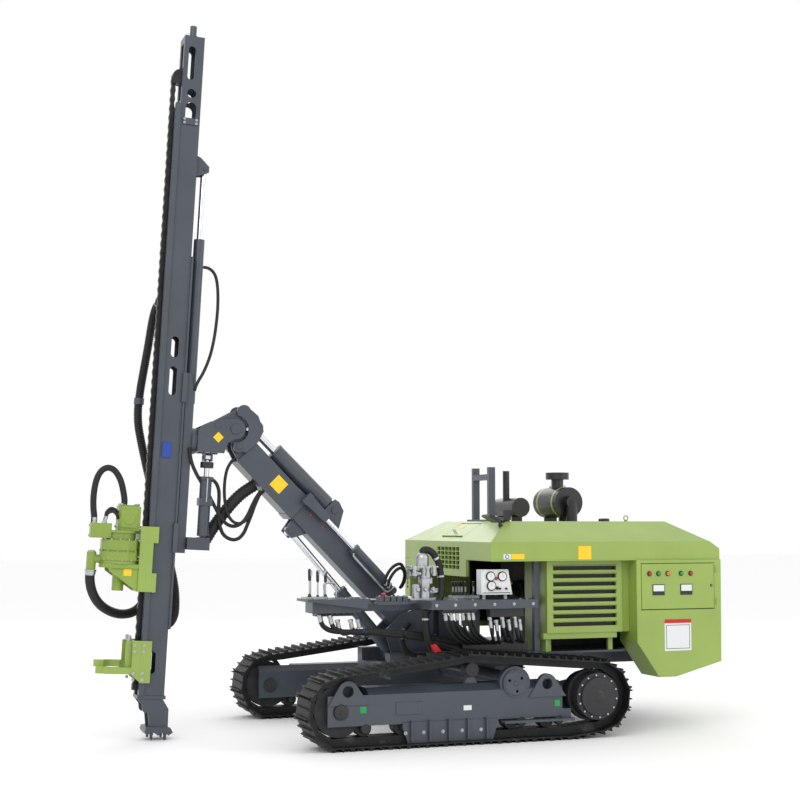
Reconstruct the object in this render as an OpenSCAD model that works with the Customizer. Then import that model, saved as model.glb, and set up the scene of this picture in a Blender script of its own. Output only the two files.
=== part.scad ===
// Down-the-hole drilling rig on crawler tracks.
// +X forward (towards the mast), +Y to the machine's left, +Z up, ground at Z = 0.
// All sizes in millimetres. Measures along the ground start at the middle of the tracks.

/* [Tracks] */
// Overall width over both tracks
track_span = 2400; // [2200:10:2600]
// Width of the track shoes
shoe_w = 350; // [250:5:420]
// Number of shoes on each track
shoe_count = 40; // [36:1:44]
// Thickness of a shoe plate
shoe_t = 10; // [8:1:14]
// Height of the ribs on a shoe
rib_h = 22; // [12:1:30]
// Thickness of a rib
rib_t = 9; // [6:1:12]
// Depth of the chain links under the shoes
link_h = 60; // [45:1:70]
// Width of the chain links
link_w = 150; // [110:5:180]
// Distance of the front idler's axle ahead of the middle
idler_x = 1085; // [1000:5:1200]
// Outer radius of the track round the front idler
idler_r = 290; // [260:2:320]
// Distance of the sprocket's axle behind the middle
sprocket_x = 1075; // [1000:5:1200]
// Outer radius of the track round the sprocket
sprocket_r = 300; // [270:2:320]
// Height of the sprocket's axle
sprocket_z = 330; // [310:2:360]
// Height of the top of the track over the carrier roller
carrier_top_z = 718; // [680:2:760]
// Radius of a carrier roller
carrier_r = 55; // [40:1:70]
// Distance of the rear bottom roller behind the middle
rear_roller_x = 860; // [780:5:900]
// Radius of a bottom roller
roller_r = 62; // [50:1:70]
// Number of bottom rollers on each side
roller_count = 6; // [5:1:7]

/* [Track frames] */
// Height of the underside of a track beam
beam_z = 180; // [160:5:220]
// Height of a track beam's side
beam_h = 230; // [200:5:260]
// Distance of the beam's outer face inside the shoes' outer edge
beam_inset = 70; // [50:5:90]
// Thickness of the lifting lugs
lug_t = 40; // [25:1:50]
// Radius of the lifting holes
lug_hole_r = 44; // [30:1:50]
// Height of the lifting holes
lug_hole_z = 442; // [420:2:460]
// Distance of the front lifting hole ahead of the middle
lug_front_x = 1030; // [980:5:1060]
// Distance of the rear lifting hole behind the middle
lug_rear_x = 643; // [600:5:680]
// Distance of the frame's pivot shaft behind the middle
pivot_x = 368; // [320:5:420]
// Height of the frame's pivot shaft
pivot_z = 455; // [440:5:480]
// Radius of the pivot shaft
pivot_r = 75; // [60:1:85]
// Thickness of the guard plates and steps
guard_t = 14; // [8:1:20]

/* [Chassis] */
// Outer width over the two main beams
rail_span = 840; // [780:10:880]
// Width of a main beam
rail_w = 120; // [90:5:140]
// Height of the main beams' underside
rail_z = 520; // [500:5:560]
// Height of a main beam
rail_h = 130; // [110:5:150]
// Front end of the main beams ahead of the middle
rail_front_x = 430; // [380:10:500]
// Rear end of the main beams behind the middle
rail_rear_x = 2200; // [2100:10:2300]
// Thickness of the floor plate on the main beams
floor_t = 16; // [10:1:20]

/* [Boom swing] */
// Distance of the swing axis behind the middle
swing_x = 60; // [40:5:80]
// Radius of the swing pin
swing_pin_r = 60; // [50:1:65]
// Outer radius of the housing round the swing pin
swing_tube_r = 100; // [90:1:105]
// Height of the housing's lower end
swing_low_z = 565; // [555:1:575]
// Height of the housing's upper end
swing_top_z = 985; // [975:1:1000]
// Thickness of the swing post's plates
fork_t = 26; // [20:1:32]
// Running gap round pins and shafts
pin_gap = 0.05; // [0.02:0.01:0.1]
// Gap between faces that slide or turn on each other
face_gap = 0.3; // [0.2:0.1:1]
// Clearance between pieces that pass each other
clear = 6; // [5:0.5:10]

/* [Boom] */
// Distance of the boom's foot pin ahead of the middle
boom_x = 170; // [160:5:190]
// Height of the boom's foot pin
boom_z = 875; // [865:5:890]
// Angle of the boom above level
boom_angle = 45.5; // [42:0.5:50]
// Depth of the lower boom
boom_h = 190; // [180:2:196]
// Width of the lower boom
boom_w = 180; // [170:2:186]
// Distance from the foot pin to the lower boom's end
boom_len = 1930; // [1850:10:1960]
// Radius of the boom's foot pin
boom_pin_r = 35; // [30:1:40]
// Distance from the foot pin to the sleeve's lower end
sleeve_start = 1345; // [1335:5:1355]
// Distance from the foot pin to the sleeve's upper end
sleeve_end = 2000; // [1990:5:2020]
// Thickness of the sleeve's walls
sleeve_wall = 12; // [8:1:16]
// Travel of the sleeve out of the boom
extend_travel = 450; // [350:10:480]
// Radius of the extension cylinder's barrel
ext_barrel_r = 44; // [38:1:46]
// Radius of the extension cylinder's rod
ext_rod_r = 20; // [16:1:24]
// Height of the extension cylinder above the boom's middle line
ext_off = 95; // [85:1:100]

/* [Boom lift cylinder] */
// Distance of the lift cylinder's base pin ahead of the middle
lift_base_x = 250; // [240:2:260]
// Height of the lift cylinder's base pin
lift_base_z = 600; // [594:2:610]
// Distance along the boom to the lift cylinder's eye
lift_eye_u = 1261; // [1250:1:1270]
// Distance of the lift cylinder's eye below the boom's middle line
lift_eye_w = 170; // [166:1:176]
// Radius of the lift cylinder's barrel
lift_barrel_r = 52; // [46:1:56]
// Radius of the lift cylinder's rod
lift_rod_r = 28; // [24:1:32]
// Length of the lift cylinder's barrel from its base pin
lift_barrel_len = 740; // [700:10:780]

/* [Boom head] */
// Distance along the boom to the rocker's lower pin
rocker_u = 2081; // [2078:1:2086]
// Distance of the rocker's lower pin below the boom's middle line
rocker_w = 19; // [16:1:22]
// Distance along the boom to the mast tilt pin
tilt_pin_u = 2205; // [2202:1:2210]
// Distance of the mast tilt pin above the boom's middle line
tilt_pin_w = 58; // [54:1:62]
// Distance along the boom to the rocker's upper pin
link_pin_u = 2256; // [2252:1:2260]
// Distance of the rocker's upper pin above the boom's middle line
link_pin_w = 208; // [204:1:212]
// Radius of the mast tilt pin
tilt_pin_r = 42; // [36:1:45]
// Radius of the rocker's and the link's pins
rocker_pin_r = 24; // [20:1:28]
// Thickness of the side plates at the boom head
head_t = 22; // [18:1:25]
// Thickness of the outer plates of the rocker and the mast bracket
side_t = 24; // [18:1:28]

/* [Mast tilt cylinder] */
// Distance along the boom to the tilt cylinder's base pin
tilt_base_u = 1122; // [1112:1:1130]
// Distance of the tilt cylinder's base pin above the boom's middle line
tilt_base_w = 214; // [212:1:218]
// Distance along the boom to the tilt cylinder's rod eye
tilt_eye_u = 2091; // [2086:1:2096]
// Distance of the tilt cylinder's rod eye above the boom's middle line
tilt_eye_w = 192; // [190:1:196]
// Radius of the tilt cylinder's barrel
tilt_barrel_r = 74; // [68:1:74]
// Radius of the tilt cylinder's rod
tilt_rod_r = 34; // [28:1:40]
// Length of the tilt cylinder's barrel from its base pin
tilt_barrel_len = 700; // [680:5:720]

/* [Mast] */
// Lean of the mast towards the machine
mast_lean = 2.87; // [0:0.01:5]
// Depth of the mast box
mast_d = 166; // [160:2:180]
// Width of the mast box
mast_w = 180; // [170:2:190]
// Thickness of the mast box's walls
mast_wall = 10; // [6:1:12]
// Height of the mast box's lower end above the foot's tips
mast_low_z = 345; // [335:5:360]
// Height of the mast's upper end above the foot's tips
mast_top_z = 5755; // [5600:10:5900]
// Distance from the mast tilt pin to the mast's rear face
tilt_to_mast = 445; // [440:1:455]
// Height of the mast tilt pin above the foot's tips
tilt_pin_up = 2510; // [2490:5:2530]
// Depth of the front guide rails
rail_d = 42; // [36:1:46]
// Half width over the front guide rails
rail_half = 112; // [108:1:116]
// Half width between the front guide rails
rail_gap_half = 60; // [54:1:66]
// Distance of the front guide rails' upper end below the mast's
rail_drop_z = 585; // [500:5:700]
// Thickness of the rear guide bars
bar_t = 16; // [12:1:18]
// Half width over the rear guide bars
bar_half = 108; // [104:1:112]
// Height of the rear guide bars' lower end
bar_low_z = 870; // [840:10:900]
// Height of the rear guide bars' upper end
bar_top_z = 3900; // [3700:10:4100]
// Pitch of the feed chain's link pairs
chain_pitch = 76.2; // [70:0.1:90]
// Height of a feed chain link
chain_h = 42; // [36:1:46]
// Width of the feed chain
chain_w = 40; // [34:1:44]
// Distance of the feed chain's middle line ahead of the mast box
chain_off = 58; // [56:1:62]

/* [Cradle] */
// Height of the mast swing axis above the foot's tips
swing_axis_z = 2395; // [2385:5:2405]
// Radius of the swing disc
disc_r = 108; // [100:2:110]
// Thickness of the swing disc
disc_t = 40; // [34:1:46]
// Radius of the mast swing pin
mast_pin_r = 40; // [34:1:46]
// Depth of the cradle's beam
cradle_d = 72; // [66:1:76]
// Half width of the cradle's beam
cradle_half = 80; // [74:1:84]
// Height of the cradle's lower end
cradle_low_z = 1480; // [1470:5:1500]
// Height of the top of the cradle's beam
cradle_top_z = 2700; // [2680:5:2720]
// Height of the top of the cradle's upper clamps
cradle_head_z = 2940; // [2900:5:2980]
// Thickness of the clamps round the guide bars and rails
jaw_t = 14; // [10:1:18]

/* [Mast cylinders] */
// Radius of the mast slide cylinder's barrel
slide_barrel_r = 45; // [42:1:48]
// Radius of the mast slide cylinder's rod
slide_rod_r = 25; // [20:1:28]
// Height of the mast slide cylinder's upper barrel end
slide_barrel_z = 4065; // [4000:5:4100]
// Height of the pin that ties the slide cylinder's rod to the mast
slide_pin_z = 4655; // [4640:5:4700]
// Distance of the mast slide cylinder behind the mast's rear face
slide_off = 76; // [75:1:80]
// Distance of the mast swing cylinder behind the mast's rear face
swing_cyl_off = 232; // [228:1:236]
// Radius of the mast swing cylinder's barrel
swing_barrel_r = 48; // [42:1:52]
// Radius of the mast swing cylinder's rod
swing_rod_r = 22; // [18:1:26]
// Height of the mast swing cylinder's base pin
swing_base_z = 1590; // [1580:2:1600]
// Height of the mast swing cylinder's upper pin
swing_eye_z = 2262; // [2258:1:2266]
// Sideways place of the mast swing cylinder's base pin
swing_base_y = 96; // [94:1:100]
// Sideways place of the mast swing cylinder's upper pin
swing_eye_y = 96; // [94:1:100]

/* [Rotary head] */
// Distance of the drill axis ahead of the mast's rear face
drill_x = 412; // [405:1:420]
// Height of the carriage's lower end
carriage_low_z = 1160; // [1150:5:1170]
// Height of the carriage's upper end
carriage_top_z = 1680; // [1660:5:1700]
// Thickness of the carriage's plates
carriage_t = 20; // [14:1:24]
// Distance of the carriage's front plate ahead of the mast's rear face
carriage_x = 256; // [255:1:260]
// Height of the head's base plate
head_plate_z = 1340; // [1330:1:1350]
// Radius of the gearbox's lower step
gear_r = 162; // [155:1:168]
// Radius of the gearbox's upper step
gear_top_r = 158; // [150:1:162]
// Radius of the spindle
spindle_r = 46; // [40:1:50]
// Height of the spindle's lower end
spindle_low_z = 1160; // [1150:2:1170]
// Length of the spindle's smooth end, which takes the drill rod
spindle_end = 150; // [120:5:160]
// Radius of the spindle's collar above it
collar_r = 60; // [56:1:66]

/* [Rod clamp] */
// Height of the rod clamp's lower end
clamp_low_z = 445; // [435:5:455]
// Height of the rod clamp's upper end
clamp_top_z = 775; // [765:5:785]
// Height of the clamp arms' underside
arm_z = 512; // [505:1:520]
// Thickness of the clamp arms
arm_t = 52; // [40:1:56]
// Radius of the rod opening between the clamp arms
jaw_r = 72; // [60:1:78]

/* [Hood] */
// Distance of the hood's front face behind the middle
hood_front_x = 226; // [220:2:240]
// Distance of the hood's rear face behind the middle
hood_rear_x = 2353; // [2330:1:2360]
// Half width over the hood's band
hood_half = 985; // [975:1:995]
// Height of the band's lower edge
band_low_z = 1412; // [1400:2:1420]
// Height of the band's upper edge
band_top_z = 1565; // [1555:1:1575]
// Height of the flat roof
roof_z = 1735; // [1720:5:1750]
// Half width of the flat roof
roof_half = 680; // [660:5:700]
// Front edge of the flat roof behind the middle
roof_front_x = 500; // [480:5:520]
// Rear edge of the flat roof behind the middle
roof_rear_x = 2000; // [1980:5:2020]
// Thickness of the hood's walls
hood_t = 24; // [18:1:30]
// Rear end of the operator's bay behind the middle
bay_rear_x = 768; // [760:2:780]
// Rear end of the radiator sides behind the middle
radiator_rear_x = 1465; // [1440:5:1480]
// Front end of the rear side boxes behind the middle
box_front_x = 1540; // [1530:2:1550]
// Half width over the rear side boxes
box_half = 1002; // [998:1:1010]
// Half width over the radiator sides
radiator_half = 890; // [880:1:900]
// Height of the radiator sides' lower edge
radiator_low_z = 817; // [805:1:825]
// Number of slots in a radiator grille
slot_count = 8; // [6:1:10]
// Height of a radiator slot
slot_h = 34; // [26:1:40]
// Front edge of the control door behind the middle
door_front_x = 1583; // [1575:1:1600]
// Hinged edge of the control door behind the middle
door_rear_x = 2286; // [2270:1:2300]
// Height of the control door's lower edge
door_low_z = 1000; // [990:1:1020]
// Height of the control door's upper edge
door_top_z = 1384; // [1370:1:1395]
// Distance of the hatch's middle behind the machine's middle
hatch_x = 378; // [370:1:385]
// Half length of the hatch down the front slope
hatch_half = 104; // [90:1:108]
// Width of the hatch
hatch_w = 450; // [400:5:480]
// Sideways place of the hatch's middle
hatch_y = 10; // [0:1:20]
// Front end of the engine behind the middle
engine_front_x = 900; // [880:5:950]
// Rear end of the engine behind the middle
engine_rear_x = 2050; // [2000:5:2080]
// Half width of the engine
engine_half = 330; // [300:5:360]
// Height of the engine's top
engine_top_z = 1480; // [1450:5:1500]

/* [Deck] */
// Half width over the side deck
deck_half = 1000; // [985:1:1010]
// Height of the deck plate's top
deck_z = 1105; // [1095:1:1115]
// Depth of the deck's edge channel
deck_h = 70; // [60:1:80]
// Front end of the deck ahead of the middle
deck_front_x = 291; // [280:1:300]
// Rear end of the deck behind the middle
deck_rear_x = 635; // [620:5:645]
// Front end of the console ahead of the middle
console_front_x = 1250; // [1240:1:1260]
// Rear end of the console ahead of the middle
console_rear_x = 730; // [720:1:740]
// Height of the console's table
console_z = 1122; // [1115:1:1130]
// Sideways place of the console's middle
console_y = 640; // [630:5:660]
// Width of the console
console_w = 300; // [280:5:320]

/* [Roof pieces] */
// Distance of the muffler behind the middle
muffler_x = 985; // [970:5:1000]
// Radius of the muffler
muffler_r = 86; // [80:1:92]
// Distance of the air cleaner behind the middle
cleaner_x = 1410; // [1400:5:1430]
// Radius of the air cleaner
cleaner_r = 136; // [128:1:142]
// Distance of the mast rest behind the middle
rest_x = 590; // [570:5:600]
// Height of the mast rest's top
rest_z = 2204; // [2150:2:2210]

/* [Hidden] */

// The row's origin lies under the middle of the whole rig's length.
front_reach = 2915;
origin_shift = -(front_reach - hood_rear_x) / 2;
round_fn = 48;
blue_grey = [0.31, 0.34, 0.38];
lime = [0.62, 0.72, 0.34];
dark = [0.09, 0.09, 0.1];
steel = [0.75, 0.76, 0.78];

track_mid = (track_span - shoe_w) / 2;
idler_z = idler_r;
path_z = rib_h;
idler_path_r = idler_r - rib_h;
sprocket_path_r = sprocket_r - rib_h;
rail_drop = shoe_t + link_h;
roller_z = path_z + rail_drop + roller_r + face_gap;
carrier_z = carrier_top_z - rib_h - rail_drop - carrier_r - 4;
carrier_x = -20;
// columns: x, z, radius of the belt path
belt = [
  [idler_x, idler_z, idler_path_r],
  [carrier_x, carrier_top_z - rib_h - 80, 80],
  [-sprocket_x, sprocket_z, sprocket_path_r],
  [-rear_roller_x, path_z + 120, 120]
];
belt_n = [for (i = [0:3]) belt_normal(belt[i], belt[(i + 1) % 4])];
belt_arc = [for (i = [0:3]) belt[i][2] * turn(heading(belt_n[(i + 3) % 4]), heading(belt_n[i])) * PI / 180];
belt_line = [for (i = [0:3]) sqrt(pow(norm(centre(belt[(i + 1) % 4]) - centre(belt[i])), 2)
  - pow(belt[i][2] - belt[(i + 1) % 4][2], 2))];
belt_len = belt_arc * [1, 1, 1, 1] + belt_line * [1, 1, 1, 1];
shoe_pitch = belt_len / shoe_count;
shoes = [for (i = [0:shoe_count - 1]) belt_at(i * shoe_pitch, 0)];
// across the travel and out from the plate: the outline of one shoe with three ribs
half_shoe = shoe_pitch / 2 - 3;
shoe_form = [
  [-half_shoe, rib_h], [rib_t - half_shoe, rib_h], [rib_t + 4 - half_shoe, 0],
  [-rib_t / 2 - 4, 0], [-rib_t / 2, rib_h], [rib_t / 2, rib_h], [rib_t / 2 + 4, 0],
  [half_shoe - rib_t - 4, 0], [half_shoe - rib_t, rib_h], [half_shoe, rib_h],
  [shoe_pitch / 2, -2]
];
beam_out = track_span / 2 - beam_inset;
beam_in = track_mid - 135;
sleeve_h = boom_h / 2 + 5;
sleeve_w = boom_w / 2 + 5;
sleeve_out_h = sleeve_h + sleeve_wall;
sleeve_out_w = sleeve_w + sleeve_wall;
ext_y = boom_w / 2 + sleeve_wall + 5 + ext_barrel_r;
plate_in = sleeve_out_w + 4;
tilt_pin_x = -tilt_to_mast;
lift_eye = [lift_eye_u, -lift_eye_w];
tilt_base = [tilt_base_u, tilt_base_w];
tilt_eye = [tilt_eye_u, tilt_eye_w];
rocker_pin = [rocker_u, -rocker_w];
tilt_pin = [tilt_pin_u, tilt_pin_w];
link_pin = [link_pin_u, link_pin_w];
tilt_pin_xz = [boom_x, boom_z] + turned(tilt_pin, boom_angle);
// the small pin of the mast bracket, from the tilt pin, in the mast's directions
bracket_pin = [152, 22];
link_far = tilt_pin + turned(bracket_pin, mast_lean + 90 - 90 - boom_angle);
rod_gap = 0.5;
deck_low = deck_z - deck_h;
box_in = radiator_half - 190;
floor_half = track_mid - shoe_w / 2 - 16;
mast_front = mast_d + rail_d;
rail_top_z = mast_top_z - rail_drop_z;
hood_slope = atan2(roof_z - band_top_z, roof_front_x - hood_front_x);
hatch_z = band_top_z + (hatch_x - hood_front_x) * tan(hood_slope);
hatch_pin = [-hatch_x - hatch_half * cos(hood_slope), hatch_z + hatch_half * sin(hood_slope) - 6];
hatch_pin_r = 6;
slot_pitch = (band_low_z - radiator_low_z - 135) / (slot_count - 1);
floor_top = rail_z + rail_h + floor_t;

// the free hoses: points in X, Y and Z along the middle line, and half the diameter
air_hose_r = 38;
air_hose_route = [
  [2811, 0, 1352], [2816, -2, 1290], [2808, -10, 1226], [2788, -26, 1166], [2754, -52, 1108],
  [2706, -86, 1058], [2646, -124, 1020], [2580, -160, 994], [2514, -190, 984], [2448, -210, 992],
  [2394, -220, 1020], [2354, -222, 1066], [2332, -220, 1124], [2324, -214, 1190], [2330, -204, 1258],
  [2334, -200, 1326], [2331, -198, 1399]
];
head_hose_r = 25;
head_hose_route = [
  [2561, 50, 1867], [2560, 50, 1912], [2571, 50, 1978], [2586, 50, 2040], [2610, 50, 2096],
  [2646, 50, 2142], [2692, 50, 2160], [2738, 50, 2142], [2772, 50, 2094], [2792, 50, 2032],
  [2802, 50, 1966], [2806, 50, 1898], [2804, 50, 1834], [2798, 50, 1776], [2799, 50, 1725]
];
slide_hose_r = 13;
slide_hose_route = [
  [1928, 0, 3835], [1886, 2, 3828], [1848, 6, 3800], [1824, 12, 3752], [1813, 22, 3680],
  [1810, 32, 3595], [1813, 42, 3505], [1820, 50, 3420], [1830, 56, 3335], [1843, 62, 3250],
  [1860, 66, 3165], [1882, 70, 3082], [1910, 72, 3005], [1942, 73, 2935], [1972, 73, 2884],
  [1994, 73, 2838], [2006, 73, 2797]
];
boom_hose_r = 13;
boom_hose_route = [
  [1661, 76, 2255], [1700, 76, 2212], [1728, 75, 2158], [1742, 73, 2096], [1748, 71, 2030],
  [1748, 69, 1962], [1742, 67, 1896], [1730, 65, 1832], [1706, 63, 1772], [1668, 61, 1730],
  [1622, 59, 1716], [1576, 57, 1732], [1536, 55, 1772], [1505, 55, 1822], [1478, 53, 1882],
  [1448, 51, 1946], [1415, 51, 1981]
];
control_hose_r = 20;
control_hose_route = [
  [1100, 640, 1009], [1098, 640, 960], [1080, 642, 912], [1038, 644, 878], [980, 646, 862],
  [910, 650, 856], [830, 655, 858], [745, 662, 860], [660, 671, 858], [575, 681, 850],
  [490, 692, 838], [405, 704, 822], [320, 717, 800], [235, 731, 778], [145, 746, 754],
  [55, 762, 730], [-38, 776, 712]
];
tube_sides = 8;

function centre(c) = [c[0], c[1]];
function heading(v) = atan2(v[1], v[0]);
function turn(a, b) = (b - a + 720) % 360;
function turned(p, a) = [p[0] * cos(a) - p[1] * sin(a), p[0] * sin(a) + p[1] * cos(a)];
function belt_normal(a, b) =
  let (d = centre(b) - centre(a), l = norm(d), e = d / l, k = (a[2] - b[2]) / l)
  e * k + [e[1], -e[0]] * sqrt(1 - k * k);
// place and outward heading at a distance along the belt
function belt_at(s, i) =
  let (c = belt[i], start = heading(belt_n[(i + 3) % 4]), n = belt_n[i])
  s < belt_arc[i]
    ? let (a = start + s / c[2] * 180 / PI) [c[0] + c[2] * cos(a), c[1] + c[2] * sin(a), a]
    : s < belt_arc[i] + belt_line[i]
      ? let (p = centre(c) + n * c[2] + [-n[1], n[0]] * (s - belt_arc[i])) [p[0], p[1], heading(n)]
      : belt_at(s - belt_arc[i] - belt_line[i], i + 1);
// a point along and out from a shoe, set in its place on the belt
function shoe_point(k, t, n) =
  let (s = shoes[k]) [s[0] + n * cos(s[2]) - t * sin(s[2]), s[1] + n * sin(s[2]) + t * cos(s[2])];
function seam_point(k, n) =
  (shoe_point(k, shoe_pitch / 2, n) + shoe_point((k + 1) % shoe_count, -shoe_pitch / 2, n)) / 2;

module machine() {
  translate([origin_shift, 0, 0]) children();
}

// a plate from y0 to y1 with its outline in X and Z
module side(y0, y1) {
  translate([0, y1, 0]) rotate([90, 0, 0]) linear_extrude(y1 - y0) children();
}

// two like plates on both sides of the middle plane
module pair(y0, y1) {
  side(y0, y1) children();
  side(-y1, -y0) children();
}

// a bar from x0 to x1 with its outline in Y and Z
module along(x0, x1) {
  translate([x0, 0, 0]) rotate([90, 0, 90]) linear_extrude(x1 - x0) children();
}

module block(x0, x1, y0, y1, z0, z1) {
  translate([x0, y0, z0]) cube([x1 - x0, y1 - y0, z1 - z0]);
}

// a round bar along Y
module pin_y(x, z, r, y0, y1) {
  translate([x, y1, z]) rotate([90, 0, 0]) cylinder(h = y1 - y0, r = r, $fn = round_fn);
}

module disc(x, z, r) {
  translate([x, z]) circle(r = r, $fn = round_fn);
}

// a flat link with round ends between two pins
module link(a, b, ra, rb) {
  d = norm(b - a);
  k = (ra - rb) / d;
  n = turned([k, sqrt(1 - k * k)], heading(b - a));
  m = turned([k, -sqrt(1 - k * k)], heading(b - a));
  disc(a[0], a[1], ra);
  disc(b[0], b[1], rb);
  polygon([a + n * ra, a + m * ra, b + m * rb, b + n * rb]);
}

module at_boom() {
  machine() translate([boom_x, 0, boom_z]) rotate([0, -boom_angle, 0]) children();
}

module at_mast() {
  machine() translate([tilt_pin_xz[0], 0, tilt_pin_xz[1]]) rotate([0, -mast_lean, 0])
    translate([tilt_to_mast, 0, -tilt_pin_up]) children();
}

// a cylinder's barrel from a at the origin towards b, in X and Z
module toward(a, b) {
  translate([a[0], 0, a[1]]) rotate([0, -heading(b - a), 0]) children();
}

module bar_x(x0, x1, r, y = 0) {
  translate([x0, y, 0]) rotate([0, 90, 0]) cylinder(h = x1 - x0, r = r, $fn = round_fn);
}

/* Tracks */

module track() {
  n = shoe_count;
  side(track_mid - shoe_w / 2, track_mid + shoe_w / 2) polygon(
    points = concat(
      [for (k = [0:n - 1]) for (p = shoe_form) shoe_point(k, p[0], p[1])],
      [for (k = [0:n - 1]) seam_point(k, -shoe_t)]
    ),
    paths = [
      [for (i = [0:n * len(shoe_form) - 1]) i],
      [for (i = [0:n - 1]) n * len(shoe_form) + i]
    ]
  );
  side(track_mid - link_w / 2, track_mid + link_w / 2) polygon(
    points = concat(
      [for (k = [0:n - 1]) seam_point(k, 1 - shoe_t)],
      [for (k = [0:n - 1]) seam_point(k, -rail_drop)]
    ),
    paths = [[for (i = [0:n - 1]) i], [for (i = [0:n - 1]) n + i]]
  );
}

module track_left() {
  color(dark) machine() track();
}

module track_right() {
  color(dark) mirror([0, 1, 0]) machine() track();
}

module running_gear() {
  wheel_half = link_w / 2 + 20;
  tread_half = link_w / 2 - 20;
  gear_low = track_mid - wheel_half;
  gear_high = track_mid + wheel_half;
  idler_wheel_r = idler_path_r - rail_drop - 1;
  sprocket_wheel_r = sprocket_path_r - rail_drop - 1;
  pin_y(idler_x, idler_z, idler_wheel_r, track_mid - tread_half, track_mid + tread_half);
  pin_y(idler_x, idler_z, 60, beam_in - 10, beam_out + 10);
  for (i = [0:roller_count - 1])
    let (x = -rear_roller_x + 200 + i * (idler_x + rear_roller_x - 400) / (roller_count - 1)) {
      pin_y(x, roller_z, roller_r, track_mid - tread_half, track_mid + tread_half);
      pin_y(x, roller_z, 26, beam_in + 24, beam_out - 24);
    }
  pin_y(carrier_x, carrier_z, carrier_r, track_mid - tread_half, track_mid + tread_half);
  pin_y(-sprocket_x, sprocket_z, sprocket_wheel_r, track_mid - 25, track_mid + 25);
  difference() {
    union() {
      pin_y(-sprocket_x, sprocket_z, 186, beam_in + guard_t + face_gap, track_mid + 150);
      pin_y(-sprocket_x, sprocket_z, 150, track_mid + 149, track_mid + 170);
    }
    pin_y(-sprocket_x, sprocket_z, 60, track_mid + 162, track_mid + 180);
  }
}

module running_gear_left() {
  color(dark) machine() running_gear();
}

module running_gear_right() {
  color(dark) mirror([0, 1, 0]) machine() running_gear();
}

module lifting_lug(x, back) {
  side(beam_out - lug_t + 12, beam_out + 12) difference() {
    union() {
      disc(x, lug_hole_z, 80);
      polygon([[x - 70, lug_hole_z + 40], [x + 70, lug_hole_z + 40], [x + back + 160, beam_z + beam_h - 70],
        [x + back - 165, beam_z + beam_h - 70]]);
    }
    disc(x, lug_hole_z, lug_hole_r);
  }
}

module track_frame() {
  beam_top = beam_z + beam_h;
  low = beam_z + 44;
  // the beam: a box with a sloping shoulder, open where the rollers sit
  difference() {
    union() {
      along(-820, 1190) polygon([
        [beam_in, low], [beam_out, low], [beam_out, beam_top], [beam_out - 70, beam_top + 50],
        [beam_in + 30, beam_top + 50], [beam_in, beam_top]
      ]);
      block(-820, 1190, beam_out - guard_t, beam_out, beam_z, beam_top);
      block(-820, 1190, beam_in, beam_in + guard_t, beam_z, beam_top);
    }
    // the fork for the idler
    block(idler_x - idler_path_r + rail_drop - 25, 1300, track_mid - link_w / 2 - 26,
      track_mid + link_w / 2 + 26, 0, beam_top + 100);
    // the shaft of the idler and the rollers
    pin_y(idler_x, idler_z, 60 + face_gap, beam_in - 20, beam_out + 20);
    // the pivot shaft's seat
    pin_y(-pivot_x, pivot_z, pivot_r + face_gap, beam_in - 120, beam_out - 40);
    // the final drive's room
    block(-900, -860 + 60 + 20, 0, 3000, 0, 2000);
    for (s = [[lug_front_x, 0], [-lug_rear_x, 0]])
      pin_y(s[0], lug_hole_z, lug_hole_r + 6, beam_out - lug_t - 60, beam_out + 20);
  }
  difference() {
    union() {
      lifting_lug(lug_front_x, -6);
      lifting_lug(-lug_rear_x, 0);
    }
    pin_y(idler_x, idler_z, 60 + face_gap, beam_in - 20, beam_out + 20);
  }
  // the plate that carries the final drive
  side(beam_in, beam_in + guard_t) {
    disc(-sprocket_x, sprocket_z, 170);
    polygon([[-sprocket_x, 190], [-sprocket_x, 470], [-700, beam_top - 10], [-700, beam_z + 10]]);
  }
  // the pivot's cap on its rounded boss
  difference() {
    pin_y(-pivot_x, pivot_z, 132, beam_out - 60, beam_out - 6);
    pin_y(-pivot_x, pivot_z, pivot_r + face_gap, beam_in - 120, beam_out - 40);
  }
  pin_y(-pivot_x, pivot_z, 108, beam_out - 7, beam_out + 12);
  // the carrier roller's bracket
  side(track_mid - 20, track_mid + 20) polygon([
    [carrier_x - 60, beam_top + 40], [carrier_x + 60, beam_top + 40],
    [carrier_x + 30, carrier_z - carrier_r - clear], [carrier_x - 30, carrier_z - carrier_r - clear]
  ]);
  // the guard under the rollers and the side step
  side(beam_out - guard_t, beam_out + 10) polygon([
    [-210, 158], [-170, 32], [545, 32], [587, 158], [587, beam_z + 10], [-210, beam_z + 10]
  ]);
  for (x = [-120, 40, 200, 360, 510]) block(x, x + 16, beam_out + 9, beam_out + 34, 44, beam_z + 20);
  block(-857, -248, beam_out - guard_t, track_span / 2, 152, 170);
  block(-857, -780, beam_out - guard_t, beam_out, 150, beam_z + 60);
}

module track_frame_left() {
  color(blue_grey) machine() track_frame();
}

module track_frame_right() {
  color(blue_grey) mirror([0, 1, 0]) machine() track_frame();
}

/* Chassis, engine and hood */

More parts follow.
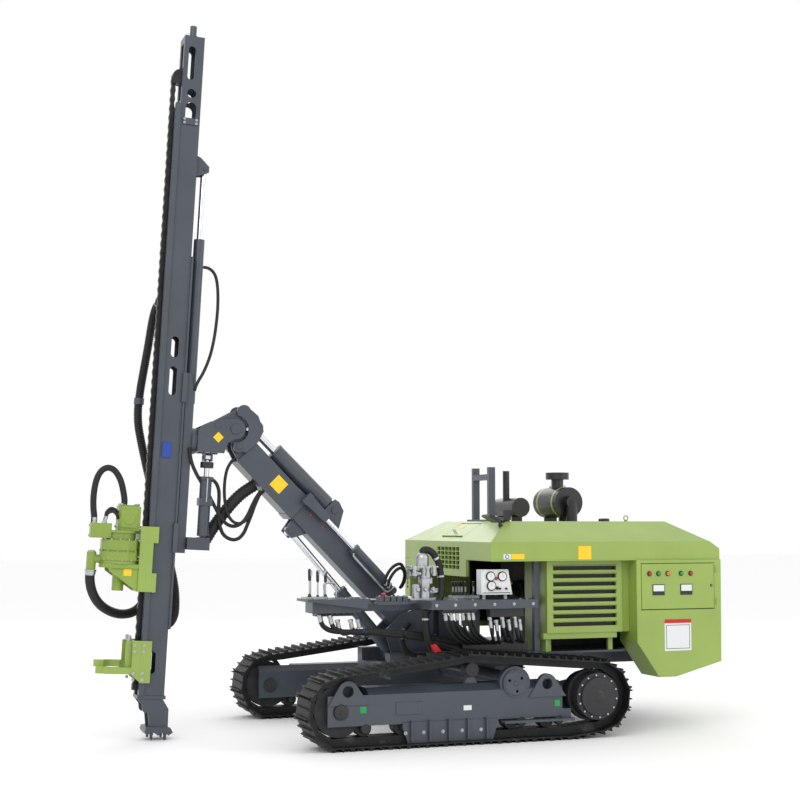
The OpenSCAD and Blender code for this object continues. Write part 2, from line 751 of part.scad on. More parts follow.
module chassis_frame() {
  inner = rail_span / 2 - rail_w;
  rail_top = rail_z + rail_h;
  color(blue_grey) machine() {
    difference() {
      union() {
        for (s = [1, -1])
          block(-rail_rear_x, rail_front_x, s > 0 ? inner : -rail_span / 2,
            s > 0 ? rail_span / 2 : -inner, rail_z, rail_top);
        // cross members
        for (x = [-rail_rear_x, -1500, -900, -pivot_x - 90])
          block(x, x + 110, -inner - 2, inner + 2, rail_z, rail_top);
        // the floor under the hood
        block(-box_front_x + 20, -180, -floor_half, floor_half, rail_top - 1, rail_top + floor_t);
        block(-2300, -box_front_x + 21, face_gap - box_in, box_in - face_gap,
          rail_top - 1, rail_top + floor_t);
        // the swing pin's housing with its web and foot
        translate([-swing_x, 0, swing_low_z])
          cylinder(h = swing_top_z - swing_low_z, r = swing_tube_r, $fn = round_fn);
        side(-60, 60) polygon([
          [-swing_x - 40, swing_low_z], [-swing_x - 40, swing_top_z - 20],
          [-swing_x - 130, swing_top_z - 20], [-460, rail_top + 100], [-460, rail_z + 20],
          [-400, rail_z + 20], [-swing_x - 150, swing_low_z]
        ]);
        // the pivot shaft that carries both track frames
        pin_y(-pivot_x, pivot_z, pivot_r, -beam_out + 41, beam_out - 41);
        // the post at the corner of the operator's bay
        block(-732, -684, 776, 824, floor_top - 1, band_low_z - face_gap);
        // the front beam, low enough to pass under the lift cylinder
        block(rail_front_x - 110, rail_front_x, -rail_span / 2, rail_span / 2, rail_z - 80, rail_z + 20);
      }
      translate([-swing_x, 0, 0]) cylinder(h = 2000, r = swing_pin_r + pin_gap, $fn = round_fn);
    }
    pair(rail_span / 2 - rail_w, rail_span / 2) polygon([
      [-pivot_x - 150, rail_z + 10], [-pivot_x + 150, rail_z + 10],
      [-pivot_x + 60, pivot_z - 60], [-pivot_x - 60, pivot_z - 60]
    ]);
  }
}

module engine() {
  color(dark) machine()
    block(-engine_rear_x, -engine_front_x, -engine_half, engine_half, floor_top + face_gap, engine_top_z);
}

// outline of the hood from the side, drawn in by t
module hood_side(t) {
  slope = (roof_z - band_top_z) / (roof_front_x - hood_front_x);
  rear_slope = 0.654;
  rear_z = roof_z - rear_slope * (hood_rear_x - roof_rear_x);
  polygon([
    [-hood_front_x - t, -1], [-hood_front_x - t, band_top_z - t * 0.6],
    [-roof_front_x - t * 0.6, roof_z - t], [-roof_rear_x + t * 0.6, roof_z - t],
    [-hood_rear_x + t, rear_z - t * 0.6], [-hood_rear_x + t, -1]
  ]);
}

// outline of the hood from the front, drawn in by t
module hood_section(t) {
  polygon([
    [hood_half - t, -1], [hood_half - t, band_top_z - t * 0.6], [roof_half - t * 0.6, roof_z - t],
    [-roof_half + t * 0.6, roof_z - t], [-hood_half + t, band_top_z - t * 0.6], [-hood_half + t, -1]
  ]);
}

module hood_form(t) {
  intersection() {
    side(-hood_half - 10, hood_half + 10) hood_side(t);
    along(-hood_rear_x - 10, -hood_front_x + 10) hood_section(t);
  }
}

module hood_shell() {
  color(lime) machine() difference() {
    hood_form(0);
    hood_form(hood_t);
    // the sides below the band
    block(-hood_rear_x - 20, -hood_front_x - hood_t, -2000, -hood_half + hood_t + 1, -10, band_low_z);
    block(-hood_rear_x - 20, -hood_front_x - hood_t, hood_half - hood_t - 1, 2000, -10, band_low_z);
    block(-hood_rear_x - 20, -box_front_x, -2000, 2000, -10, 720);
    for (s = [0, 1]) mirror([0, s, 0])
      block(-hood_rear_x - 20, -box_front_x, box_in - face_gap, 2000, -10, band_low_z);
    // the front face: open on the operator's side, with a deep panel far to the right
    block(-hood_front_x - hood_t - 1, 0, 473, 2000, -10, band_low_z);
    block(-hood_front_x - hood_t - 1, 0, -860, 474, -10, 1274);
    block(-hood_front_x - hood_t - 1, 0, -2000, -859, -10, 1050);
    // the front grille's windows
    for (c = [0:5]) for (r = [0:4])
      block(-hood_front_x - 60, -hood_front_x + 60, -186 + c * 85 + 6, -186 + c * 85 + 79,
        1327 + r * 38.4 + 4, 1327 + r * 38.4 + 35);
    // the slots of the deep panel
    for (r = [0:4]) block(-hood_front_x - 60, -hood_front_x + 60, -940, -905, 1124 + r * 36, 1150 + r * 36);
    // the hatch over the front slope
    hatch_cut(4);
    block(hatch_pin[0] - 11, hatch_pin[0] + 30, hatch_y - hatch_w / 2 - 7, hatch_y + hatch_w / 2 + 7,
      hatch_pin[1] - 30, hatch_pin[1] + 11);
  }
}

module hatch_cut(gap) {
  half = hatch_w / 2 + gap;
  translate([-hatch_x, hatch_y, hatch_z]) rotate([0, hood_slope, 0])
    block(-hatch_half - gap, hatch_half + gap, -half, half, -100, 100);
}

module hood_hatch() {
  color(lime) machine() union() {
    intersection() {
      hatch_cut(0);
      difference() {
        hood_form(0);
        hood_form(hood_t);
      }
    }
    pin_y(hatch_pin[0], hatch_pin[1], hatch_pin_r, hatch_y - hatch_w / 2 - 3.7, hatch_y + hatch_w / 2 + 3.7);
  }
}

// outline of a rear side box
module box_outline(t) {
  polygon([
    [-box_front_x - t, band_low_z - face_gap], [-box_front_x - t, 732 + t * 0.4], [-1744 - t * 0.4, 441 + t],
    [-1906, 441 + t], [-2344 + t, 556 + t], [-hood_rear_x + t, band_low_z - face_gap]
  ]);
}

module rear_box(door) {
  difference() {
    side(box_in, box_half) box_outline(0);
    if (door) block(-door_rear_x, -door_front_x, box_half - 22, box_half + 10, door_low_z, door_top_z);
    side(box_in - 1, box_half - hood_t - 20) box_outline(hood_t);
    // the chamfers under the box
    translate([0, box_half, 441]) rotate([45, 0, 0]) block(-2400, -1400, -80, 80, -80, 0);
  }
}

module rear_box_left() {
  color(lime) machine() rear_box(true);
}

module rear_box_right() {
  color(lime) mirror([0, 1, 0]) machine() rear_box(false);
}

module panel_door() {
  color(lime) machine() union() {
    block(-door_rear_x + 4, -door_front_x - 4, box_half - 18, box_half + 2, door_low_z + 4, door_top_z - 4);
    translate([-door_rear_x + 10, box_half - 4, door_low_z + face_gap])
      cylinder(h = door_top_z - door_low_z - 2 * face_gap, r = 6, $fn = 24);
  }
}

module radiator(y) {
  low = radiator_low_z;
  top = band_low_z - face_gap;
  difference() {
    block(-radiator_rear_x, -bay_rear_x, y - 30, y, low, top);
    for (i = [0:slot_count - 1])
      block(-radiator_rear_x + 55, -bay_rear_x - 57, y - 40, y + 10,
        low + 72 - slot_h / 2 + i * slot_pitch, low + 72 + slot_h / 2 + i * slot_pitch);
  }
  // lips over the slots, the strip at the rear box and the channel that carries the panel
  for (i = [0:slot_count - 1])
    side(y - 2, y + 9) translate([0, low + 72 + slot_h / 2 + i * slot_pitch]) polygon([
      [-radiator_rear_x + 50, 0], [-radiator_rear_x + 50, 5], [-bay_rear_x - 52, 5], [-bay_rear_x - 52, 0]
    ]);
  block(-box_front_x + face_gap, -radiator_rear_x + 1, y - 50, y - 20, low, top);
  block(-radiator_rear_x + 50, -bay_rear_x + 30, y - 90, y - 10, low - 47, low + 1);
  for (x = [-1400, -830]) block(x, x + 40, y - 90, y - 60, floor_top + face_gap, low - 46);
}

module radiator_left() {
  color(lime) machine() {
    radiator(radiator_half);
    block(-bay_rear_x - 20, -bay_rear_x, 460, radiator_half - 29, floor_top, band_low_z - face_gap);
  }
}

module radiator_right() {
  color(lime) mirror([0, 1, 0]) machine() {
    radiator(radiator_half);
    block(-bay_rear_x, -hood_front_x - hood_t - 1, radiator_half - 30, radiator_half,
      900, band_low_z - face_gap);
  }
}

/* Deck and controls */

module deck() {
  in = 380;
  color(blue_grey) machine() {
    block(-deck_rear_x, deck_front_x, in, deck_half, deck_z - 8, deck_z);
    block(-deck_rear_x, deck_front_x, deck_half - 10, deck_half, deck_low, deck_z);
    block(-deck_rear_x, deck_front_x, in, in + 20, deck_low, deck_z);
    for (x = [-deck_rear_x, deck_front_x - 10]) block(x, x + 10, in, deck_half, deck_low, deck_z);
    // the arm that carries the console
    block(deck_front_x - 60, console_rear_x + 60, console_y - 60, console_y - 10,
      console_z - 107, console_z - 53);
    // legs on the floor
    for (x = [-600, -240]) block(x, x + 60, 662, 722, floor_top, deck_z - 7);
  }
}

module deck_levers() {
  color(steel) machine() {
    block(-265, -30, 560, 660, deck_z + face_gap, deck_z + 22);
    for (x = [-53, -81, -108, -132, -165, -237]) {
      translate([x, 600, deck_z + 21]) cylinder(h = 80, r = 7, $fn = 16);
      translate([x, 600, deck_z + 100]) cylinder(h = 34, r = 11, $fn = 16);
    }
  }
}

// the box of gauges: upright in front, its back drawn in towards the top
module instrument_panel() {
  color([0.85, 0.86, 0.87]) machine() {
    side(800, 900) polygon([[-451, 1142], [-178, 1142], [-178, 1344], [-415, 1344]]);
    for (x = [-420, -230]) block(x, x + 20, 840, 860, deck_z + face_gap, 1143);
  }
}

// the air inlet: a valve body with its dome and elbow, on a plate at the deck's front edge
module inlet_valve() {
  y = 750;
  color(steel) machine() {
    block(180, 400, y - 60, y + 60, deck_z + face_gap, deck_z + 12);
    translate([250, y, deck_z + 11]) cylinder(h = 120, r = 44, $fn = round_fn);
    translate([250, y, deck_z + 130]) cylinder(h = 40, r = 62, $fn = 8);
    translate([250, y, deck_z + 169]) cylinder(h = 90, r = 48, $fn = round_fn);
    block(160, 396, y - 62, y + 62, deck_z + 258, deck_z + 270);
    translate([275, y, deck_z + 269]) cylinder(h = 62, r = 52, $fn = round_fn);
    translate([275, y, deck_z + 330]) sphere(r = 52, $fn = round_fn);
    translate([330, y, deck_z + 210]) rotate([0, 90, 0]) cylinder(h = 54, r = 34, $fn = round_fn);
    translate([290, y, deck_z + 210]) rotate([0, 90, 0]) cylinder(h = 60, r = 24, $fn = round_fn);
    translate([120, y, deck_z + 60]) rotate([0, 90, 0]) cylinder(h = 140, r = 26, $fn = round_fn);
    translate([330, y, deck_z + 11]) cylinder(h = 110, r = 30, $fn = round_fn);
  }
}

module valve_box() {
  color(dark) machine() block(-622, -44, 730, 826, floor_top + face_gap, 757);
}

module console() {
  y0 = console_y - console_w / 2;
  y1 = console_y + console_w / 2;
  color(blue_grey) machine() {
    block(console_rear_x, console_front_x, y0, y1, console_z - 20, console_z);
    block(console_rear_x + 60 + face_gap, console_front_x - 60, y0 + 40, y1 - 60, 1010, console_z - 19);
    side(y1 - 12, y1) polygon([
      [console_rear_x + 20, console_z - 19], [console_rear_x + 20, 1040],
      [console_front_x - 30, console_z - 19]
    ]);
  }
}

module console_levers() {
  color(steel) machine() {
    block(1060, 1240, console_y - 60, console_y + 60, console_z + face_gap, console_z + 16);
    for (i = [0:2]) {
      translate([1180 - i * 60, console_y, console_z + 15]) cylinder(h = 170, r = 5, $fn = 24);
      translate([1180 - i * 60, console_y, console_z + 185]) cylinder(h = 40, r = 12, $fn = 24);
    }
  }
}

/* Roof pieces */

module muffler() {
  z = roof_z + 125;
  color(dark) machine() {
    pin_y(-muffler_x, z, muffler_r, -520, -70);
    for (y = [-440, -170]) block(-muffler_x - 50, -muffler_x + 50, y, y + 16, roof_z + face_gap, z - 40);
    translate([-muffler_x + 40, -300, z]) cylinder(h = 330, r = 30, $fn = round_fn);
  }
}

module air_cleaner() {
  z = roof_z + 170;
  color(dark) machine() {
    pin_y(-cleaner_x, z, cleaner_r, -430, 30);
    for (y = [-360, -60]) block(-cleaner_x - 60, -cleaner_x + 60, y, y + 24, roof_z + face_gap, z - 60);
    translate([-cleaner_x, -200, z]) cylinder(h = 240, r = 55, $fn = round_fn);
    translate([-cleaner_x, -200, z + 210]) cylinder(h = 62, r = 105, $fn = round_fn);
    pin_y(-cleaner_x, z, 60, 29, 110);
    translate([-cleaner_x, 80, roof_z + face_gap]) cylinder(h = 190, r = 50, $fn = round_fn);
  }
}

module mast_rest() {
  color(blue_grey) machine() {
    for (y = [-190, 150]) block(-rest_x - 30, -rest_x + 30, y, y + 40, roof_z + face_gap, rest_z);
    block(-rest_x - 30, -rest_x + 30, -190, 190, rest_z - 110, rest_z - 60);
    block(-rest_x - 60, -rest_x + 60, -230, 230, roof_z + face_gap, roof_z + 16);
  }
}

module work_lamp() {
  color(dark) machine() {
    block(-540, -470, 560, 690, roof_z + 8, roof_z + 90);
    block(-520, -490, 600, 650, roof_z + face_gap, roof_z + 9);
  }
}

/* Boom */

module swing_post() {
  fork_in = boom_w / 2 + fork_t / 2 + 15;
  low = swing_low_z - face_gap;
  top = swing_top_z + face_gap;
  cap = fork_t;
  color(blue_grey) machine() difference() {
    union() {
      translate([-swing_x, 0, low - cap]) cylinder(h = top - low + 2 * cap, r = swing_pin_r, $fn = round_fn);
      for (z = [low - cap, top]) {
        translate([-swing_x, 0, z]) cylinder(h = cap, r = swing_tube_r + 20, $fn = round_fn);
        block(-swing_x, 70, -fork_in - fork_t, fork_in + fork_t, z, z + cap);
      }
      pair(fork_in, fork_in + fork_t) polygon([
        [-swing_x, low - cap], [lift_base_x - 40, lift_base_z - 50], [lift_base_x + 30, lift_base_z - 45],
        [lift_base_x + 60, lift_base_z + 10], [boom_x + 210, boom_z - 60], [boom_x + 60, boom_z + 80],
        [60, top + cap], [-swing_x, top + cap]
      ]);
      for (s = [1, -1]) {
        pin_y(boom_x, boom_z, boom_pin_r + 30, s > 0 ? boom_w / 2 + face_gap : -fork_in - 1,
          s > 0 ? fork_in + 1 : -boom_w / 2 - face_gap);
        pin_y(lift_base_x, lift_base_z, boom_pin_r + 15, s > 0 ? 45 : -fork_in - 1,
          s > 0 ? fork_in + 1 : -45);
      }
      pin_y(boom_x, boom_z, boom_pin_r, -fork_in - fork_t - 12, fork_in + fork_t + 12);
      pin_y(lift_base_x, lift_base_z, boom_pin_r - 8, -fork_in - fork_t - 10, fork_in + fork_t + 10);
    }
  }
}

module lower_boom() {
  half = boom_h / 2;
  color(blue_grey) at_boom() difference() {
    union() {
      side(-boom_w / 2, boom_w / 2) union() {
        disc(0, 0, half);
        translate([0, -half]) square([boom_len, boom_h]);
      }
      // the lug of the lift cylinder
      pair(36, 60) polygon([
        [lift_eye_u - 110, -half + 2], [lift_eye_u - 45, lift_eye[1] - 40],
        [lift_eye_u + 40, lift_eye[1] - 40], [lift_eye_u + 62, -half + 2]
      ]);
      for (s = [0, 1]) mirror([0, s, 0]) pin_y(lift_eye_u, lift_eye[1], 22, 40, 70);
      // the extension cylinder's barrel beside the boom
      translate([0, 0, ext_off]) bar_x(415, 790, ext_barrel_r, ext_y);
      translate([0, 0, ext_off]) bar_x(300, 416, ext_rod_r + 7, ext_y);
      translate([0, 0, ext_off]) bar_x(770, 796, ext_barrel_r + 5, ext_y);
      side(ext_y - 24, ext_y + 24) disc(300, ext_off, 30);
      pin_y(300, ext_off, 14, ext_y - 36, ext_y + 36);
      block(285, 315, boom_w / 2 - 2, ext_y - 30, ext_off - 34, ext_off + 14);
      for (u = [440, 720]) block(u, u + 40, boom_w / 2 - 2, ext_y, ext_off - 40, ext_off + 20);
    }
    pin_y(0, 0, boom_pin_r + pin_gap, -200, 200);
    translate([0, 0, ext_off]) bar_x(316, 800, ext_rod_r + rod_gap, ext_y);
  }
}

module lift_barrel() {
  color(blue_grey) machine() toward([lift_base_x, lift_base_z], lift_far()) difference() {
    union() {
      bar_x(75, lift_barrel_len, lift_barrel_r);
      bar_x(lift_barrel_len - 40, lift_barrel_len, lift_barrel_r + 6);
      side(-40, 40) union() {
        disc(0, 0, 52);
        translate([0, -40]) square([80, 80]);
      }
    }
    pin_y(0, 0, boom_pin_r - 8 + pin_gap, -100, 100);
    bar_x(110, lift_barrel_len + 10, lift_rod_r + rod_gap);
  }
}

function lift_far() = [boom_x, boom_z] + turned(lift_eye, boom_angle);
lift_len = norm(lift_far() - [lift_base_x, lift_base_z]);

module lift_rod() {
  color(steel) machine() toward([lift_base_x, lift_base_z], lift_far()) difference() {
    union() {
      bar_x(420, lift_len - 30, lift_rod_r);
      side(-28, 28) disc(lift_len, 0, 42);
    }
  }
}

module boom_sleeve() {
  color(blue_grey) at_boom() {
    difference() {
      union() {
        block(sleeve_start, sleeve_end, -sleeve_out_w, sleeve_out_w, -sleeve_out_h, sleeve_out_h);
        block(sleeve_start, sleeve_start + 60, -sleeve_out_w - 4, sleeve_out_w + 4,
          -sleeve_out_h - 4, sleeve_out_h + 4);
        // the head's side plates
        pair(sleeve_out_w - head_t - 20, sleeve_out_w - 20) union() {
          link(rocker_pin, tilt_pin, 52, 50);
          polygon([
            [sleeve_end - 40, -sleeve_out_h], [rocker_u + 20, -rocker_w - 50],
            [tilt_pin_u + 20, tilt_pin_w - 46], [tilt_pin_u - 20, tilt_pin_w + 46],
            [sleeve_end + 20, sleeve_out_h - 20], [sleeve_end - 40, sleeve_out_h - 4]
          ]);
        }
        // the tilt cylinder's bracket, reaching back over the lower boom
        pair(52, 52 + head_t) polygon([
          [tilt_base_u - 150, sleeve_out_h], [tilt_base_u - 60, tilt_base_w + 55],
          [tilt_base_u + 20, tilt_base_w + 80], [tilt_base_u + 62, tilt_base_w + 70],
          [tilt_base_u + 68, sleeve_out_h + 20], [tilt_base_u + 100, sleeve_out_h + 12],
          [sleeve_start + 120, sleeve_out_h + 12], [sleeve_start + 140, sleeve_out_h - 4],
          [sleeve_start, sleeve_out_h - 4], [sleeve_start - 20, sleeve_out_h - 10],
          [tilt_base_u - 100, sleeve_out_h - 10]
        ]);
        block(tilt_base_u - 120, tilt_base_u + 60, -53, 53, sleeve_out_h - 9, sleeve_out_h + 5);
        pin_y(tilt_base_u, tilt_base_w, 26, -88, 88);
        // the pins of the rocker and the mast bracket
        pin_y(tilt_pin_u, tilt_pin_w, tilt_pin_r, -plate_in - side_t - 8, plate_in + side_t + 8);
        pin_y(rocker_u, -rocker_w, rocker_pin_r, -plate_in - side_t - 6, plate_in + side_t + 6);
        // the extension cylinder's bracket
        side(ext_y - 30, ext_y + 30) polygon([
          [1130, ext_off - 34], [1130, ext_off + 34], [1280, ext_off + 40],
          [sleeve_start + 50, ext_off + 50], [sleeve_start + 50, ext_off - 50], [1280, ext_off - 40]
        ]);
        block(sleeve_start + 2, sleeve_start + 50, sleeve_out_w, ext_y + 30, ext_off - 50, ext_off + 50);
      }
      block(sleeve_start - 10, sleeve_end - 20, -sleeve_w, sleeve_w, -sleeve_h, sleeve_h);
      translate([0, 0, ext_off]) bar_x(1100, 1240, ext_rod_r + 0.3, ext_y);
    }
  }
}

module extension_rod() {
  color(steel) at_boom() translate([0, 0, ext_off]) bar_x(325, 1239.5, ext_rod_r, ext_y);
}

tilt_len = norm(tilt_eye - tilt_base);

module tilt_barrel() {
  color(blue_grey) at_boom() toward(tilt_base, tilt_eye) difference() {
    union() {
      bar_x(75, tilt_barrel_len, tilt_barrel_r);
      bar_x(tilt_barrel_len - 10, tilt_barrel_len + 6, tilt_barrel_r + 1);
      side(-46, 46) union() {
        disc(0, 0, 48);
        translate([0, -46]) square([80, 92]);
      }
    }
    pin_y(0, 0, 26 + pin_gap, -100, 100);
    bar_x(120, tilt_barrel_len + 10, tilt_rod_r + rod_gap);
  }
}

module tilt_rod() {
  color(steel) at_boom() toward(tilt_base, tilt_eye) difference() {
    union() {
      bar_x(380, tilt_len - 30, tilt_rod_r);
      side(-34, 34) disc(tilt_len, 0, 44);
    }
  }
}

module rocker() {
  reach = 128;
  color(blue_grey) at_boom() difference() {
    union() {
      pair(plate_in, plate_in + side_t) difference() {
        union() {
          disc(rocker_u, -rocker_w, 50);
          disc(link_pin_u, link_pin_w, 58);
          disc(tilt_eye_u, tilt_eye_w, 58);
          polygon([
            rocker_pin + [20, -46], rocker_pin + [-76, 4], tilt_eye + [-95, -70], tilt_eye + [-62, 26],
            tilt_eye + [60, 80], link_pin + [-20, 55], link_pin + [52, -20], rocker_pin + [46, 18]
          ]);
        }
        disc(tilt_pin_u, tilt_pin_w, 112);
      }
      for (s = [0, 1]) mirror([0, s, 0]) pin_y(tilt_eye_u, tilt_eye_w, 30, 40, plate_in + 1);
      pin_y(link_pin_u, link_pin_w, rocker_pin_r, -plate_in - 2, plate_in + 2);
    }
    pin_y(rocker_u, -rocker_w, rocker_pin_r + pin_gap, -300, 300);
  }
}

module rocker_link() {
  color(blue_grey) at_boom() difference() {
    pair(plate_in - 34, plate_in - 6) link(link_pin, link_far, 40, 36);
    pin_y(link_pin_u, link_pin_w, rocker_pin_r + pin_gap, -300, 300);
  }
}

module mast_bracket() {
  front = tilt_to_mast - cradle_d - 26 - disc_t - face_gap;
  color(blue_grey) at_mast() translate([-tilt_to_mast, 0, tilt_pin_up]) difference() {
    union() {
      pair(plate_in, plate_in + side_t) union() {
        disc(0, 0, 84);
        polygon([
          [10, 84], [150, 68], [front - 30, 2], [front - 5, -30], [front - 5, -206],
          [84, -206], [54, -118], [-14, -80], [-40, 40]
        ]);
      }
      block(front - side_t, front, -plate_in - side_t, plate_in + side_t, -206, -20);
      for (s = [0, 1]) mirror([0, s, 0])
        pin_y(bracket_pin[0], bracket_pin[1], rocker_pin_r, plate_in, plate_in + side_t + 6);
      // the swing pin's stub and the lug of the swing cylinder
      translate([0, 0, swing_axis_z - tilt_pin_up]) bar_x(front - 2, front + disc_t - 4, mast_pin_r);
      block(tilt_to_mast - swing_cyl_off - 40, tilt_to_mast - swing_cyl_off + 40,
        swing_eye_y - 60, plate_in + 1, -206, -190);
      for (s = [-1, 1])
        block(tilt_to_mast - swing_cyl_off + s * 30 - 6, tilt_to_mast - swing_cyl_off + s * 30 + 6,
          swing_eye_y - 40, swing_eye_y + 40, swing_eye_z - tilt_pin_up - 30, -191);
      for (s = [-1, 1])
        translate([tilt_to_mast - swing_cyl_off + s * 36, swing_eye_y, swing_eye_z - tilt_pin_up])
        bar_x(-7, 7, 14);
    }
    pin_y(0, 0, tilt_pin_r + pin_gap, -300, 300);
  }
}

/* Cradle and mast */

module clamp_pair(z0, z1) {
  for (s = [0, 1]) mirror([0, s, 0]) {
    block(-bar_t - 10 - 0.3, -bar_t - face_gap, 40, bar_half + jaw_t, z0, z1);
    block(-bar_t - 1, 12, bar_half + face_gap, bar_half + jaw_t, z0, z1);
    block(face_gap, 12, mast_w / 2 + 5, bar_half + jaw_t, z0, z1);
  }
}

module cradle() {
  back = -bar_t - 10;
  color(blue_grey) at_mast() difference() {
    union() {
      block(back - cradle_d, back, -cradle_half, cradle_half, cradle_low_z, cradle_top_z);
      pair(cradle_half - 14, cradle_half) polygon([
        [back - cradle_d, cradle_top_z - 1], [back - cradle_d + 30, cradle_head_z],
        [back + 1, cradle_head_z], [back + 1, cradle_top_z - 1]
      ]);
      clamp_pair(cradle_low_z, cradle_low_z + 235);
      clamp_pair(cradle_head_z - 240, cradle_head_z);
      translate([0, 0, swing_axis_z]) bar_x(back - cradle_d - disc_t + 0.5, back - cradle_d + 1, disc_r);
      // the bracket that carries the swing cylinder
      block(-swing_cyl_off - 50, back - cradle_d + 1, swing_base_y - 56, swing_base_y + 56,
        cradle_low_z + 30, cradle_low_z + 46);
      for (s = [-1, 1])
        block(-swing_cyl_off - 50, back - cradle_d + 1, swing_base_y + s * 50 - 6, swing_base_y + s * 50 + 6,
          cradle_low_z + 30, cradle_low_z + 130);
      for (s = [-1, 1])
        block(-swing_cyl_off + s * 34 - 6, -swing_cyl_off + s * 34 + 6, swing_base_y - 55, swing_base_y + 55,
          cradle_low_z + 31, swing_base_z + 24);
      translate([0, swing_base_y, swing_base_z]) bar_x(-swing_cyl_off - 44, -swing_cyl_off + 44, 14);
    }
    translate([0, 0, swing_axis_z])
      bar_x(back - cradle_d - disc_t - 20, back - cradle_d, mast_pin_r + pin_gap);
  }
}

module slide_barrel() {
  color(blue_grey) at_mast() difference() {
    translate([-slide_off, 0, cradle_top_z + face_gap])
      cylinder(h = slide_barrel_z - cradle_top_z, r = slide_barrel_r, $fn = round_fn);
    translate([-slide_off, 0, cradle_top_z + 60])
      cylinder(h = 3000, r = slide_rod_r + rod_gap, $fn = round_fn);
  }
}

swing_cyl_len = norm([swing_eye_y - swing_base_y, swing_eye_z - swing_base_z]);
swing_cyl_turn = atan2(swing_eye_y - swing_base_y, swing_eye_z - swing_base_z);

module at_swing_cylinder() {
  at_mast() translate([-swing_cyl_off, swing_base_y, swing_base_z])
    rotate([-swing_cyl_turn, 0, 0]) children();
}

module swing_barrel() {
  color(blue_grey) at_swing_cylinder() difference() {
    union() {
      translate([0, 0, 34]) cylinder(h = swing_cyl_len - 190, r = swing_barrel_r, $fn = round_fn);
      along(-24, 24) union() {
        circle(r = 26, $fn = round_fn);
        translate([-26, 0]) square([52, 40]);
      }
    }
    bar_x(-40, 40, 14 + pin_gap);
    translate([0, 0, 70]) cylinder(h = swing_cyl_len, r = swing_rod_r + rod_gap, $fn = round_fn);
  }
}

module swing_rod() {
  color(steel) at_swing_cylinder() difference() {
    union() {
      translate([0, 0, 150]) cylinder(h = swing_cyl_len - 160, r = swing_rod_r, $fn = round_fn);
      along(-20, 20) translate([0, swing_cyl_len]) circle(r = 30, $fn = round_fn);
    }
  }
}

// columns: middle height, length, width, distance from the rear face
mast_slots = [
  [mast_top_z - 230, 285, 56, 99], [mast_top_z - 655, 190, 90, 80], [cradle_head_z + 206, 172, 62, 88],
  [cradle_head_z - 72, 236, 62, 88], [mast_low_z + 257, 175, 54, 112]
];

module mast_beam() {
  color(blue_grey) at_mast() difference() {
    union() {
      block(0, mast_d, -mast_w / 2, mast_w / 2, mast_low_z, mast_top_z);
      for (s = [0, 1]) mirror([0, s, 0]) {
        block(mast_d - 1, mast_front, rail_gap_half, rail_half, mast_low_z, rail_top_z);
        block(-bar_t, 1, 60, mast_w / 2, bar_low_z, bar_top_z);
        block(-bar_t, 0, 60, bar_half, bar_low_z, bar_top_z);
        // the ears of the slide cylinder's pin
        side(34, 50) polygon([
          [2, slide_pin_z - 60], [-60, slide_pin_z - 50], [-slide_off - 36, slide_pin_z - 24],
          [-slide_off - 36, slide_pin_z + 24], [-40, slide_pin_z + 90], [2, slide_pin_z + 110]
        ]);
      }
      translate([0, 0, slide_pin_z]) pin_y(-slide_off, 0, 14, -58, 58);
      translate([mast_d / 2, 0, mast_top_z - 1]) cylinder(h = 28, r = 36, $fn = round_fn);
      translate([mast_d / 2, 0, mast_top_z + 26]) cylinder(h = 84, r = 28, $fn = round_fn);
    }
    block(mast_wall, mast_d - mast_wall, -mast_w / 2 + mast_wall, mast_w / 2 - mast_wall,
      mast_low_z + mast_wall, mast_top_z - mast_wall);
    // the open front above the rails
    block(mast_d - mast_wall - 1, mast_d + 5, -50, 50, rail_top_z + 40, mast_top_z - 60);
    for (s = mast_slots)
      side(-200, 200) hull() for (k = [-1, 1]) disc(s[3], s[0] + k * (s[1] - s[2]) / 2, s[2] / 2);
    pin_y(82, mast_top_z - 487, 38, -200, 200);
  }
}

module mast_foot() {
  color(blue_grey) at_mast() {
    block(-12, 214, -95, 95, mast_low_z - 28, mast_low_z - face_gap);
    pair(70, 88) polygon([
      [8, mast_low_z - 28], [210, mast_low_z - 28], [171, 270], [165, 225], [147, 206], [121, 214],
      [104, 96], [-46, 68], [-43, 240]
    ]);
    // the shoe with its wavy sole and its spikes
    side(-110, 110) polygon([
      [-85, 58], [-62, 96], [-30, 100], [104, 100], [132, 96], [143, 66], [122, 36], [100, 52], [62, 56],
      [34, 34], [8, 52], [-22, 54], [-52, 34]
    ]);
    for (x = [-26, 83]) for (y = [-80, 80])
      translate([x, y, 0]) cylinder(h = 60, r1 = 9, r2 = 17, $fn = 24);
  }
}

chain_low = 400;
chain_pairs = floor((mast_top_z - 295 - chain_low) / chain_pitch);
cover_z = mast_top_z - 343;

module feed_chain() {
  x = mast_d + chain_off;
  h = chain_h / 2;
  color(dark) at_mast() {
    side(-chain_w / 2, chain_w / 2) polygon(concat(
      [for (i = [0:chain_pairs - 1]) for (p = [[h, 0.25], [h - 7, 0.75]])
        [x + p[0], chain_low + (i + p[1]) * chain_pitch]],
      [for (i = [chain_pairs - 1:-1:0]) for (p = [[7 - h, 0.75], [-h, 0.25]])
        [x + p[0], chain_low + (i + p[1]) * chain_pitch]]
    ));
    // the top sprocket's cover and the chain's lower anchor
    side(-46, 46) difference() {
      union() {
        disc(mast_d + 12, cover_z, 60);
        polygon([
          [mast_d + 0.5, cover_z - 62], [mast_d + 70, cover_z - 62], [mast_d + 66, cover_z + 28],
          [mast_d + 0.5, cover_z + 78]
        ]);
      }
      translate([mast_d - 99.5, cover_z - 212]) square([100, 400]);
    }
    block(mast_d + 0.3, mast_d + 80, -30, 30, chain_low - 20, chain_low + 30);
  }
}

